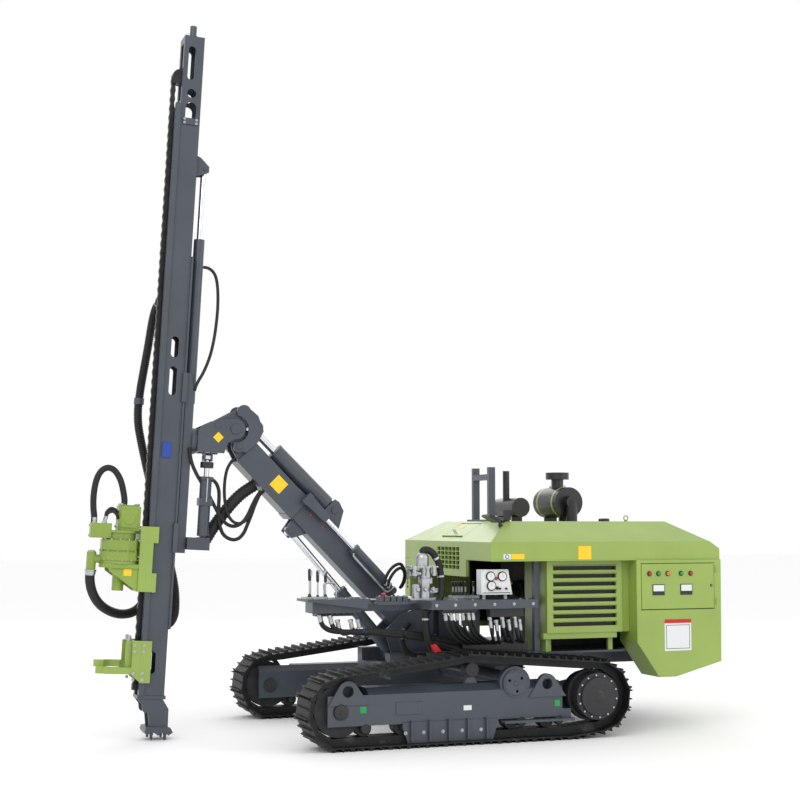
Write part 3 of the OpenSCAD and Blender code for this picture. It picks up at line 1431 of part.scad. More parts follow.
// a lip that holds a slide behind the front rails
module rail_grip(z0, z1) {
  for (s = [0, 1]) mirror([0, s, 0]) {
    block(mast_d - 36, mast_d - face_gap - 1, mast_w / 2 + 6, rail_half + carriage_t + 1, z0, z1);
    block(mast_d - 36, mast_front + 6, rail_half + face_gap + 0.2, rail_half + carriage_t + 1, z0, z1);
  }
}

module rod_clamp() {
  z0 = clamp_low_z;
  z1 = clamp_top_z;
  half = rail_half + carriage_t;
  color(lime) at_mast() {
    rail_grip(z0, z1);
    for (s = [0, 1]) mirror([0, s, 0]) {
      side(rail_half + 1, half) polygon([
        [mast_front - 2, z0], [mast_front - 2, z1], [mast_front + 78, z1], [mast_front + 74, z0 + 60]
      ]);
    }
    block(mast_front + 48, mast_front + 62, -half, half, z0 + 100, z1 - 4);
    for (s = [0, 1]) mirror([0, s, 0])
      block(mast_front + 60, mast_front + 122, half - 50, half - 36, arm_z + arm_t - 2, z1 - 4);
    clamp_arm(0);
    mirror([0, 1, 0]) clamp_arm(44);
  }
}

module clamp_arm(lift) {
  translate([0, 0, arm_z + lift]) linear_extrude(arm_t) difference() {
    union() {
      translate([mast_front + 50, 30]) square([drill_x - mast_front - 10, 102]);
      translate([drill_x + 40, 66]) circle(r = 64, $fn = round_fn);
      translate([drill_x + 100, 60]) circle(r = 42, $fn = round_fn);
    }
    translate([drill_x, 0]) circle(r = jaw_r, $fn = round_fn);
    translate([mast_front + 110, -10]) square([30, 50]);
    translate([0, -200]) square([800, 206]);
  }
}

module slide_rod() {
  color(steel) at_mast() difference() {
    union() {
      translate([-slide_off, 0, 3300])
        cylinder(h = slide_pin_z - 3300 - 20, r = slide_rod_r, $fn = round_fn);
      side(-28, 28) disc(-slide_off, slide_pin_z, 32);
    }
    pin_y(-slide_off, slide_pin_z, 14 + face_gap, -60, 60);
  }
}

module carriage() {
  z0 = carriage_low_z;
  z1 = carriage_top_z;
  half = rail_half + carriage_t;
  color(lime) at_mast() {
    rail_grip(z0, z0 + 150);
    rail_grip(z1 - 130, z1);
    for (s = [0, 1]) mirror([0, s, 0]) {
      side(rail_half + 1, half) polygon([
        [mast_front - 40, z0], [mast_front - 40, z1], [carriage_x + 1, z1], [carriage_x + 1, z0]
      ]);
      block(mast_front + face_gap, mast_front + 12, rail_gap_half + 10, rail_half + 2, z0, z1);
    }
    block(carriage_x, carriage_x + carriage_t, -half, half, z0, z1);
    // the arm at the air hose's end
    block(118, mast_front + 10, -236, 2 - half, 1391, 1414);
  }
}

module rotary_head() {
  back = carriage_x + carriage_t + face_gap;
  z0 = head_plate_z;
  color(lime) at_mast() difference() {
    union() {
      // the base plate and its gussets
      translate([0, 0, z0]) linear_extrude(34) hull() {
        translate([back, -132]) square([10, 264]);
        translate([drill_x + 20, 0]) circle(r = 140, $fn = 24);
      }
      pair(104, 122) polygon([
        [back, carriage_low_z], [back, z0 + 2], [drill_x + 96, z0 + 2], [drill_x + 92, z0 - 26]
      ]);
      // the gearbox: two cast rings with a groove between them, a neck and a flange
      // columns: lower end, height, radius, number of sides
      for (g = [
        [33, 28, gear_r - 10, 48], [60, 69, gear_r, 12], [128, 14, gear_r - 14, 48],
        [141, 81, gear_top_r, 12], [221, 58, 118, 48], [278, 20, 132, 48]
      ])
        translate([drill_x, 0, z0 + g[0]]) rotate([0, 0, 15]) cylinder(h = g[1], r = g[2], $fn = g[3]);
      // the motor with its chamfered corners and top plate
      translate([0, 0, z0 + 297]) linear_extrude(196) polygon([
        [270, -85], [430, -85], [450, -65], [450, 65], [430, 85], [270, 85]
      ]);
      block(290, 440, -70, 70, z0 + 492, z0 + 504);
      // the air swivel and the port block in front
      translate([0, 0, z0 + 66]) bar_x(drill_x + 100, drill_x + 222, 34);
      translate([drill_x + 222, 0, z0 - 20]) cylinder(h = 140, r = air_hose_r, $fn = round_fn);
      block(drill_x + 90, drill_x + 255, 10, 90, z0 + 232, z0 + 350);
    }
    translate([back - 200, -300, z0 - 500]) cube([200, 600, 1200]);
    translate([drill_x, 0, 0]) cylinder(h = z0 + 80, r = collar_r + pin_gap, $fn = round_fn);
  }
}

module spindle() {
  color(lime) at_mast() translate([drill_x, 0, spindle_low_z]) {
    cylinder(h = spindle_end + 1, r = spindle_r, $fn = round_fn);
    translate([0, 0, spindle_end])
      cylinder(h = head_plate_z + 79 - spindle_low_z - spindle_end, r = collar_r, $fn = round_fn);
  }
}

/* Free hoses */

function unit(v) = v / norm(v);
// rings of points round a route that never runs along Y
function rings(p, r) = [
  for (i = [0:len(p) - 1])
    let (
      t = unit(p[min(i + 1, len(p) - 1)] - p[max(i - 1, 0)]),
      u = unit(cross(t, [0, 1, 0])), v = cross(t, u)
    )
    for (k = [0:tube_sides - 1])
      p[i] + r * (u * cos(360 * k / tube_sides) + v * sin(360 * k / tube_sides))
];

module tube(p, r) {
  n = tube_sides;
  last = (len(p) - 1) * n;
  polyhedron(points = rings(p, r), faces = concat(
    [[for (k = [0:n - 1]) k]],
    [[for (k = [n - 1:-1:0]) last + k]],
    [for (i = [0:len(p) - 2]) for (k = [0:n - 1]) [i * n + k, (i + 1) * n + k, i * n + (k + 1) % n]],
    [for (i = [0:len(p) - 2]) for (k = [0:n - 1])
      [i * n + (k + 1) % n, (i + 1) * n + k, (i + 1) * n + (k + 1) % n]]
  ));
}

module air_hose() {
  color(dark) machine() tube(air_hose_route, air_hose_r);
}

module head_hose() {
  color(dark) machine() tube(head_hose_route, head_hose_r);
}

module slide_hose() {
  color(dark) machine() tube(slide_hose_route, slide_hose_r);
}

module boom_hose() {
  color(dark) machine() tube(boom_hose_route, boom_hose_r);
}

module control_hose() {
  color(dark) machine() tube(control_hose_route, control_hose_r);
}

chassis_frame();
track_left();
track_right();
running_gear_left();
running_gear_right();
track_frame_left();
track_frame_right();
engine();
hood_shell();
rear_box_left();
rear_box_right();
radiator_left();
radiator_right();
panel_door();
hood_hatch();
deck();
deck_levers();
instrument_panel();
inlet_valve();
console();
console_levers();
muffler();
air_cleaner();
mast_rest();
work_lamp();
swing_post();
lower_boom();
lift_barrel();
lift_rod();
boom_sleeve();
extension_rod();
tilt_barrel();
tilt_rod();
rocker();
rocker_link();
mast_bracket();
cradle();
slide_barrel();
swing_barrel();
swing_rod();
mast_beam();
mast_foot();
feed_chain();
rod_clamp();
slide_rod();
carriage();
rotary_head();
spindle();
air_hose();
head_hose();
slide_hose();
boom_hose();
control_hose();
valve_box();
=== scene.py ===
import math
import bpy
import bmesh
from mathutils import Matrix, Vector


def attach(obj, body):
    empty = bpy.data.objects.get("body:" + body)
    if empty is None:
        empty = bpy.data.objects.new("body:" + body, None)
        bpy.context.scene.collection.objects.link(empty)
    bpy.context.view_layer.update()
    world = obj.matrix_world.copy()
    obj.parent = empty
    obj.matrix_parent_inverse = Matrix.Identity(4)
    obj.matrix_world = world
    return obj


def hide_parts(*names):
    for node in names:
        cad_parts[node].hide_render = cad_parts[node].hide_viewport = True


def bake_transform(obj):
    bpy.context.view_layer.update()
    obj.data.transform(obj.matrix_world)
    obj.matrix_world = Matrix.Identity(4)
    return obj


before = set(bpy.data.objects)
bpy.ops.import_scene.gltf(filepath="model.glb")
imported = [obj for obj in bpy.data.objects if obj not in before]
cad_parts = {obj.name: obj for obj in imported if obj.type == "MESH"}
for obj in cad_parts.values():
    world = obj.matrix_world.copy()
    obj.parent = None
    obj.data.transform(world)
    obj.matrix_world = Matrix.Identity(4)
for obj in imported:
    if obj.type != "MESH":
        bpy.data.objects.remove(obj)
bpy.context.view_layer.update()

# Sizes in millimetres, measured from the middle of the tracks, as in the solids.
MM = 0.001
SHIFT = -281.0
BOOM_X, BOOM_Z, BOOM_ANGLE = 170.0, 875.0, 45.5
TILT_U, TILT_W = 2205.0, 58.0
TILT_TO_MAST, TILT_UP, LEAN = 445.0, 2510.0, 2.87


def machine():
    return Matrix.Scale(MM, 4) @ Matrix.Translation((SHIFT, 0, 0))


def at_boom():
    return machine() @ Matrix.Translation((BOOM_X, 0, BOOM_Z)) @ Matrix.Rotation(-math.radians(BOOM_ANGLE), 4, "Y")


def at_mast():
    pin = at_boom() @ Vector((TILT_U, 0, TILT_W))
    return (Matrix.Translation(pin) @ Matrix.Scale(MM, 4) @ Matrix.Rotation(-math.radians(LEAN), 4, "Y")
            @ Matrix.Translation((TILT_TO_MAST, 0, -TILT_UP)))


MACHINE, BOOM, MAST = machine(), at_boom(), at_mast()


# Materials

def linear(c):
    return tuple((x / 12.92 if x <= 0.04045 else ((x + 0.055) / 1.055) ** 2.4) for x in c)


def material(name, colour, rough=0.45, metal=0.0, coat=0.0, spread=0.12, scale=3.0, grain=0.05, grain_scale=350.0,
             bevel=0.003, wear=None, rough_spread=0.08):
    """A painted or bare surface: soft changes of tone, uneven gloss, fine grain and eased edges."""
    m = bpy.data.materials.new(name)
    m.use_nodes = True
    t = m.node_tree
    b = t.nodes["Principled BSDF"]
    base = linear(colour)
    b.inputs["Metallic"].default_value = metal
    b.inputs["Coat Weight"].default_value = coat
    b.inputs["Coat Roughness"].default_value = 0.15
    m.diffuse_color = (*base, 1)
    place = t.nodes.new("ShaderNodeTexCoord")

    def noise(s, detail):
        n = t.nodes.new("ShaderNodeTexNoise")
        n.inputs["Scale"].default_value = s
        n.inputs["Detail"].default_value = detail
        t.links.new(place.outputs["Object"], n.inputs["Vector"])
        return n.outputs["Fac"]

    tone = noise(scale, 5.0)
    ramp = t.nodes.new("ShaderNodeValToRGB")
    ramp.color_ramp.elements[0].position = 0.3
    ramp.color_ramp.elements[1].position = 0.7
    ramp.color_ramp.elements[0].color = (*[x * (1 - spread) for x in base], 1)
    ramp.color_ramp.elements[1].color = (*[min(1, x * (1 + spread)) for x in base], 1)
    t.links.new(tone, ramp.inputs["Fac"])
    colour_out = ramp.outputs["Color"]
    if wear:
        spots = t.nodes.new("ShaderNodeValToRGB")
        spots.color_ramp.elements[0].position = wear[1]
        spots.color_ramp.elements[1].position = wear[1] + 0.12
        t.links.new(noise(wear[2], 8.0), spots.inputs["Fac"])
        mix = t.nodes.new("ShaderNodeMix")
        mix.data_type = "RGBA"
        mix.inputs[7].default_value = (*linear(wear[0]), 1)
        t.links.new(spots.outputs["Color"], mix.inputs[0])
        t.links.new(colour_out, mix.inputs[6])
        colour_out = mix.outputs[2]
    t.links.new(colour_out, b.inputs["Base Color"])
    gloss = t.nodes.new("ShaderNodeMapRange")
    gloss.inputs["To Min"].default_value = max(0.02, rough - rough_spread)
    gloss.inputs["To Max"].default_value = min(1, rough + rough_spread)
    t.links.new(noise(scale * 2.7, 3.0), gloss.inputs["Value"])
    t.links.new(gloss.outputs["Result"], b.inputs["Roughness"])
    bump = t.nodes.new("ShaderNodeBump")
    bump.inputs["Strength"].default_value = grain
    bump.inputs["Distance"].default_value = 0.002
    t.links.new(noise(grain_scale, 2.0), bump.inputs["Height"])
    if bevel:
        edge = t.nodes.new("ShaderNodeBevel")
        edge.samples = 4
        edge.inputs["Radius"].default_value = bevel
        t.links.new(edge.outputs["Normal"], bump.inputs["Normal"])
    t.links.new(bump.outputs["Normal"], b.inputs["Normal"])
    return m


GREY = material("grey_paint", (0.245, 0.27, 0.308), 0.42, coat=0.25, bevel=0.004)
LIME = material("lime_paint", (0.556, 0.65, 0.293), 0.38, coat=0.3, spread=0.05, bevel=0.006)
LIME_CAST = material("lime_casting", (0.522, 0.615, 0.238), 0.42, coat=0.25, spread=0.08, grain=0.25,
                     grain_scale=120, bevel=0.008)
TRACK = material("track_steel", (0.105, 0.105, 0.11), 0.55, 0.25, spread=0.3, scale=9, grain=0.3, grain_scale=90,
                 bevel=0.002, wear=((0.3, 0.29, 0.28), 0.62, 7.0))
BLACK = material("black_paint", (0.085, 0.085, 0.09), 0.4, coat=0.2, spread=0.2)
RUBBER = material("black_rubber", (0.07, 0.07, 0.075), 0.6, spread=0.15, grain=0.15, grain_scale=500, bevel=0)
CHROME = material("hard_chrome", (0.86, 0.87, 0.89), 0.14, 1.0, spread=0.03, grain=0.01, bevel=0.001, rough_spread=0.04)
ZINC = material("zinc_plate", (0.72, 0.73, 0.74), 0.32, 1.0, spread=0.12, scale=25, grain=0.06, bevel=0.001)
CAST = material("cast_iron", (0.2, 0.2, 0.21), 0.6, 0.3, spread=0.25, scale=12, grain=0.4, grain_scale=150)
PANEL = material("panel_white", (0.86, 0.87, 0.87), 0.4, spread=0.03, bevel=0.002)
YELLOW = material("sign_yellow", (0.95, 0.78, 0.1), 0.4, spread=0.03, bevel=0)
RED = material("red_plastic", (0.75, 0.08, 0.07), 0.35, spread=0.05, bevel=0)
GREEN = material("green_plastic", (0.1, 0.6, 0.3), 0.35, spread=0.05, bevel=0)
ORANGE = material("orange_plastic", (0.95, 0.5, 0.08), 0.35, spread=0.05, bevel=0)
BLUE = material("blue_sticker", (0.12, 0.25, 0.6), 0.4, spread=0.05, bevel=0)
BRASS = material("brass_fitting", (0.75, 0.6, 0.35), 0.3, 1.0, spread=0.1, scale=25, bevel=0.001)
CHAIN = material("chain_steel", (0.2, 0.2, 0.2), 0.42, 0.7, spread=0.3, scale=30, grain=0.15)

LOOKS = {
    "grey": GREY, "lime": LIME, "lime_cast": LIME_CAST, "track": TRACK, "black": BLACK, "rubber": RUBBER,
    "chrome": CHROME, "zinc": ZINC, "cast": CAST, "panel": PANEL, "yellow": YELLOW, "red": RED, "green": GREEN,
    "orange": ORANGE, "blue": BLUE, "brass": BRASS, "chain": CHAIN,
}

# what each kept solid is painted with; all others are grey
NODE_LOOKS = {
    "track": "track_left track_right", "cast": "engine running_gear_left running_gear_right",
    "lime": "hood_shell rear_box_left rear_box_right radiator_left radiator_right panel_door hood_hatch "
            "rod_clamp carriage",
    "lime_cast": "rotary_head spindle", "black": "muffler air_cleaner work_lamp valve_box", "chain": "feed_chain",
    "chrome": "lift_rod tilt_rod extension_rod slide_rod swing_rod",
    "rubber": "air_hose head_hose slide_hose boom_hose control_hose", "panel": "instrument_panel",
    "zinc": "inlet_valve deck_levers console_levers",
}
node_look = {n: look for look, names in NODE_LOOKS.items() for n in names.split()}
for name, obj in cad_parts.items():
    for slot in obj.material_slots:
        slot.material = LOOKS[node_look.get(name, "grey")]


# Building pieces

class Piece:
    """Collects simple forms into one mesh that rides on a body. Forms are given in a frame of their own."""

    def __init__(self, name, body, look, at=MACHINE):
        self.name, self.body, self.look, self.at = name, body, look, at
        self.bm = bmesh.new()

    def add(self, verts, faces):
        vs = [self.bm.verts.new(self.at @ Vector(v)) for v in verts]
        for f in faces:
            try:
                self.bm.faces.new([vs[i] for i in f])
            except ValueError:
                pass

    def box(self, x0, x1, y0, y1, z0, z1):
        self.add([(x, y, z) for z in (z0, z1) for x, y in ((x0, y0), (x1, y0), (x1, y1), (x0, y1))],
                 [(3, 2, 1, 0), (4, 5, 6, 7), (0, 1, 5, 4), (1, 2, 6, 5), (2, 3, 7, 6), (3, 0, 4, 7)])

    def prism(self, outline, low, high, axis="y"):
        """An outline in the other two directions, drawn from low to high along axis."""
        order = {"x": lambda p, q, h: (h, p, q), "y": lambda p, q, h: (p, h, q), "z": lambda p, q, h: (p, q, h)}[axis]
        n = len(outline)
        self.add([order(p, q, h) for h in (low, high) for p, q in outline],
                 [tuple(range(n))[::-1], tuple(range(n, 2 * n))] + [(i, (i + 1) % n, n + (i + 1) % n, n + i) for i in range(n)])

    def turned(self, start, end, profile, n=24):
        """Rings of (place along start to end from 0 to 1, radius)."""
        a, b = Vector(start), Vector(end)
        d = (b - a).normalized()
        u = d.orthogonal().normalized()
        v = d.cross(u)
        length = (b - a).length
        rings = []
        for s, r in profile:
            c = a + d * (s * length)
            rings.append([c + (u * math.cos(k * math.tau / n) + v * math.sin(k * math.tau / n)) * r for k in range(n)])
        verts = [p for ring in rings for p in ring]
        faces = [tuple(range(n))[::-1], tuple(range(len(verts) - n, len(verts)))]
        for i in range(len(rings) - 1):
            faces += [(i * n + k, i * n + (k + 1) % n, (i + 1) * n + (k + 1) % n, (i + 1) * n + k) for k in range(n)]
        self.add(verts, faces)

    def rod(self, start, end, r, n=20, r2=None):
        self.turned(start, end, [(0, r), (1, r if r2 is None else r2)], n)

    def cap(self, start, end, r, n=24, ease=None):
        """A short round boss with an eased rim."""
        length = (Vector(end) - Vector(start)).length
        e = ease if ease is not None else min(r * 0.2, length * 0.5)
        self.turned(start, end, [(0, r), (1 - e / length, r), (1, r - e)], n)

    def ball(self, centre, r, n=14):
        c = Vector(centre)
        prof = [(0.5 - 0.5 * math.cos(a), math.sin(a) * r) for a in [math.pi * (i + 0.5) / 8 for i in range(8)]]
        self.turned(c - Vector((0, 0, r)), c + Vector((0, 0, r)), prof, n)

    def bolt(self, at, normal, r=10, h=8, washer=True):
        a, d = Vector(at), Vector(normal).normalized()
        if washer:
            self.turned(a, a + d * 2.5, [(0, r * 1.45), (1, r * 1.45)], 16)
            a = a + d * 2.5
        self.turned(a, a + d * h, [(0, r), (0.8, r), (1, r * 0.82)], 6)

    def ring_of_bolts(self, centre, normal, radius, count, r=10, h=8, start=0.0, washer=True):
        d = Vector(normal).normalized()
        u = d.orthogonal().normalized()
        v = d.cross(u)
        for k in range(count):
            a = start + k * math.tau / count
            self.bolt(Vector(centre) + (u * math.cos(a) + v * math.sin(a)) * radius, d, r, h, washer)

    def tube(self, points, r, n=12, steps=6, ribs=0.0, rib_pitch=None):
        pts = smooth(points, steps)
        if rib_pitch:
            pts = even(pts, rib_pitch / 4)
        frames = carried(pts)
        verts, faces = [], []
        for i, (p, u, v) in enumerate(frames):
            rr = r + (ribs if rib_pitch and i % 4 in (1, 2) else 0)
            verts += [p + (u * math.cos(k * math.tau / n) + v * math.sin(k * math.tau / n)) * rr for k in range(n)]
        for i in range(len(frames) - 1):
            faces += [(i * n + k, i * n + (k + 1) % n, (i + 1) * n + (k + 1) % n, (i + 1) * n + k) for k in range(n)]
        faces += [tuple(range(n))[::-1], tuple(range(len(verts) - n, len(verts)))]
        self.add(verts, faces)

    def done(self, bevel=0.0, smooth_angle=35.0, segments=2, bend=None):
        mesh = bpy.data.meshes.new(self.name)
        bmesh.ops.recalc_face_normals(self.bm, faces=self.bm.faces)
        self.bm.to_mesh(mesh)
        self.bm.free()
        obj = bpy.data.objects.new(self.name, mesh)
        bpy.context.scene.collection.objects.link(obj)
        mesh.materials.append(LOOKS[self.look])
        mesh.shade_smooth()
        mesh.set_sharp_from_angle(angle=math.radians(smooth_angle))
        if bevel:
            mod = obj.modifiers.new("edge", "BEVEL")
            mod.width = bevel * MM
            mod.segments = segments
            mod.limit_method = "ANGLE"
            mod.angle_limit = math.radians(35)
            mod.harden_normals = True
        if bend:
            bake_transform(obj)
        else:
            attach(obj, self.body)
        return obj


def smooth(points, steps):
    """A smooth curve through the points."""
    p = [Vector(q) for q in points]
    if len(p) < 3:
        return p
    p = [2 * p[0] - p[1]] + p + [2 * p[-1] - p[-2]]
    out = []
    for i in range(1, len(p) - 2):
        a, b, c, d = p[i - 1:i + 3]
        for k in range(steps):
            t = k / steps
            out.append(0.5 * ((2 * b) + (c - a) * t + (2 * a - 5 * b + 4 * c - d) * t * t + (3 * b - a - 3 * c + d) * t ** 3))
    return out + [p[-2]]


def even(points, step):
    """The same curve with points at even distances."""
    total = sum((b - a).length for a, b in zip(points, points[1:]))
    n = max(2, round(total / step))
    step = total / n
    out, want, gone = [points[0].copy()], step, 0.0
    for a, b in zip(points, points[1:]):
        d = (b - a).length
        while d > 0 and gone + d >= want - 1e-9 and len(out) < n:
            out.append(a.lerp(b, (want - gone) / d))
            want += step
        gone += d
    return out + [points[-1].copy()]


def carried(pts):
    """A pair of side directions at each point, carried along without twist."""
    tangents = [(pts[min(i + 1, len(pts) - 1)] - pts[max(i - 1, 0)]).normalized() for i in range(len(pts))]
    u = tangents[0].orthogonal().normalized()
    out = []
    for p, t in zip(pts, tangents):
        u = (u - t * u.dot(t)).normalized()
        out.append((p, u, t.cross(u)))
    return out


# Camera, floor and light

def studio():
    cam = bpy.data.cameras.new("camera")
    cam.lens = 66.474
    cam.sensor_width = 36.0
    eye = bpy.data.objects.new("camera", cam)
    bpy.context.scene.collection.objects.link(eye)
    eye.location = (4.595 + SHIFT * MM, 11.932, 1.709)
    a, p = math.radians(20.264), math.radians(4.813)
    look = Vector((-math.sin(a) * math.cos(p), -math.cos(a) * math.cos(p), math.sin(p)))
    eye.rotation_euler = look.to_track_quat("-Z", "Y").to_euler()
    bpy.context.scene.camera = eye
    mesh = bpy.data.meshes.new("floor")
    s = 60.0
    mesh.from_pydata([(-s, -s, 0), (s, -s, 0), (s, s, 0), (-s, s, 0)], [], [(0, 1, 2, 3)])
    floor = bpy.data.objects.new("floor", mesh)
    bpy.context.scene.collection.objects.link(floor)
    mesh.materials.append(material("floor", (0.985, 0.985, 0.985), 0.9, spread=0.005, grain=0.0, bevel=0))
    world = bpy.data.worlds.new("studio")
    bpy.context.scene.world = world
    world.use_nodes = True
    world.node_tree.nodes["Background"].inputs["Color"].default_value = (1, 1, 1, 1)
    world.node_tree.nodes["Background"].inputs["Strength"].default_value = 1.0
    for name, place, size, power in (
            ("key", (6.0, 9.0, 9.0), 6.0, 300), ("fill", (-9.0, 8.0, 5.0), 7.0, 150), ("rim", (-3.0, -9.0, 8.0), 7.0, 200)):
        light = bpy.data.lights.new(name, "AREA")
        light.size = size
        light.energy = power
        o = bpy.data.objects.new(name, light)
        o.location = place
        o.rotation_euler = (Vector((0, 0, 1.5)) - Vector(place)).to_track_quat("-Z", "Y").to_euler()
        bpy.context.scene.collection.objects.link(o)
    bpy.context.scene.view_settings.view_transform = "Standard"


studio()


# The free hoses: each follows the middle line of its solid, in metres

AIR_ROUTE = [
    (2.530, 0.000, 1.352), (2.535, -0.002, 1.290), (2.527, -0.010, 1.226), (2.507, -0.026, 1.166),
    (2.473, -0.052, 1.108), (2.425, -0.086, 1.058), (2.365, -0.124, 1.020), (2.299, -0.160, 0.994),
    (2.233, -0.190, 0.984), (2.167, -0.210, 0.992), (2.113, -0.220, 1.020), (2.073, -0.222, 1.066),
    (2.051, -0.220, 1.124), (2.043, -0.214, 1.190), (2.049, -0.204, 1.258), (2.053, -0.200, 1.326),
    (2.050, -0.198, 1.399),
]
HEAD_ROUTE = [
    (2.280, 0.050, 1.867), (2.279, 0.050, 1.912), (2.290, 0.050, 1.978), (2.305, 0.050, 2.040),
    (2.329, 0.050, 2.096), (2.365, 0.050, 2.142), (2.411, 0.050, 2.160), (2.457, 0.050, 2.142),
    (2.491, 0.050, 2.094), (2.511, 0.050, 2.032), (2.521, 0.050, 1.966), (2.525, 0.050, 1.898),
    (2.523, 0.050, 1.834), (2.517, 0.050, 1.776), (2.518, 0.050, 1.725),
]
SLIDE_ROUTE = [
    (1.647, 0.000, 3.835), (1.605, 0.002, 3.828), (1.567, 0.006, 3.800), (1.543, 0.012, 3.752),
    (1.532, 0.022, 3.680), (1.529, 0.032, 3.595), (1.532, 0.042, 3.505), (1.539, 0.050, 3.420),
    (1.549, 0.056, 3.335), (1.562, 0.062, 3.250), (1.579, 0.066, 3.165), (1.601, 0.070, 3.082),
    (1.629, 0.072, 3.005), (1.661, 0.073, 2.935), (1.691, 0.073, 2.884), (1.713, 0.073, 2.838),
    (1.725, 0.073, 2.797),
]
BOOM_ROUTE = [
    (1.380, 0.076, 2.255), (1.419, 0.076, 2.212), (1.447, 0.075, 2.158), (1.461, 0.073, 2.096),
    (1.467, 0.071, 2.030), (1.467, 0.069, 1.962), (1.461, 0.067, 1.896), (1.449, 0.065, 1.832),
    (1.425, 0.063, 1.772), (1.387, 0.061, 1.730), (1.341, 0.059, 1.716), (1.295, 0.057, 1.732),
    (1.255, 0.055, 1.772), (1.224, 0.055, 1.822), (1.197, 0.053, 1.882), (1.167, 0.051, 1.946),
    (1.134, 0.051, 1.981),
]
CONTROL_ROUTE = [
    (0.819, 0.640, 1.009), (0.817, 0.640, 0.960), (0.799, 0.642, 0.912), (0.757, 0.644, 0.878),
    (0.699, 0.646, 0.862), (0.629, 0.650, 0.856), (0.549, 0.655, 0.858), (0.464, 0.662, 0.860),
    (0.379, 0.671, 0.858), (0.294, 0.681, 0.850), (0.209, 0.692, 0.838), (0.124, 0.704, 0.822),
    (0.039, 0.717, 0.800), (-0.046, 0.731, 0.778), (-0.136, 0.746, 0.754), (-0.226, 0.762, 0.730),
    (-0.319, 0.776, 0.712),
]


def free_hose(name, body, route, radius, ribs=0.0):
    """A hose along its route, with both ends in fittings of the machine."""
    hose = Piece(name + "_rubber", body, "rubber", Matrix.Identity(4))
    hose.tube(route, radius - ribs, 20, 5, ribs, radius * 0.5 if ribs else None)
    obj = hose.done()
    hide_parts(name)
    return obj


free_hose("air_hose", "carriage", AIR_ROUTE, 0.038)
free_hose("head_hose", "carriage", HEAD_ROUTE, 0.025)
free_hose("slide_hose", "cradle", SLIDE_ROUTE, 0.013)
free_hose("boom_hose", "boom_sleeve", BOOM_ROUTE, 0.013)
free_hose("control_hose", "base", CONTROL_ROUTE, 0.020)


# Tracks and track frames

def track_details():
    for side, name in ((1, "left"), (-1, "right")):
        s = side
        bolts = Piece("frame_bolts_" + name, "base", "zinc")
        bolts.ring_of_bolts((-368, s * 1142, 455), (0, s, 0), 62, 3, 15, 5, 0.4, washer=False)
        bolts.ring_of_bolts((-1075, s * 1176, 330), (0, s, 0), 168, 14, 9, 7, 0.2, washer=False)
        for x in (-120, 40, 200, 360, 510):
            bolts.bolt((x + 55, s * 1140, 110), (0, s, 0), 10, 7)
        bolts.done()
        hub = Piece("final_drive_" + name, "base", "black")
        hub.turned((-1075, s * 1176, 330), (-1075, s * 1196, 330), [(0, 146), (0.35, 146), (0.75, 132), (1, 96)], 40)
        hub.turned((-1075, s * 1190, 330), (-1075, s * 1200, 330), [(0, 52), (0.6, 50), (1, 40)], 32)
        hub.done(2)
        plate = Piece("pivot_plate_" + name, "base", "grey")
        plate.turned((-368, s * 1141, 455), (-368, s * 1147, 455), [(0, 96), (0.5, 96), (1, 92)], 48)
        plate.turned((-368, s * 1146, 455), (-368, s * 1152, 455), [(0, 22), (1, 18)], 24)
        plate.done()
        idler = Piece("idler_cap_" + name, "base", "cast")
        idler.turned((1085, s * 1139, 290), (1085, s * 1152, 290), [(0, 58), (0.7, 56), (1, 44)], 32)
        idler.turned((1085, s * 1151, 290), (1085, s * 1158, 290), [(0, 18), (1, 16)], 6)
        for k in range(6):
            x = -750 + k * (1085 + 860 - 310) / 5
            idler.turned((x, s * 1090, 154), (x, s * 1136, 154), [(0, 40), (0.8, 40), (1, 34)], 24)
        idler.done(1.5)
        adjuster = Piece("adjuster_cover_" + name, "base", "grey")
        adjuster.prism([(430, 250), (640, 250), (640, 345), (430, 345)], *sorted((s * 1130, s * 1136)))
        adjuster.done(2)
    marks = Piece("frame_squares", "base", "green")
    for x, z in ((905, 300), (-735, 285)):
        marks.box(x - 24, x + 24, 1130.5, 1132, z - 24, z + 24)
    marks.done()
    white = Piece("frame_plate", "base", "panel")
    white.box(10, 78, 1130.5, 1132, 262, 300)
    white.done()


track_details()


# Hood and control box

HOOD_FRONT, HOOD_HALF, BAND_LOW, BAND_TOP, ROOF_Z = -226, 985, 1412, 1565, 1735
BOX_HALF = 1002


def bevel_point(x, y, lift=0.0):
    """A point on the hood's sloping front, lifted off it."""
    z = BAND_TOP + (HOOD_FRONT - x) * 0.6204
    return (x + lift * 0.527, y, z + lift * 0.85)


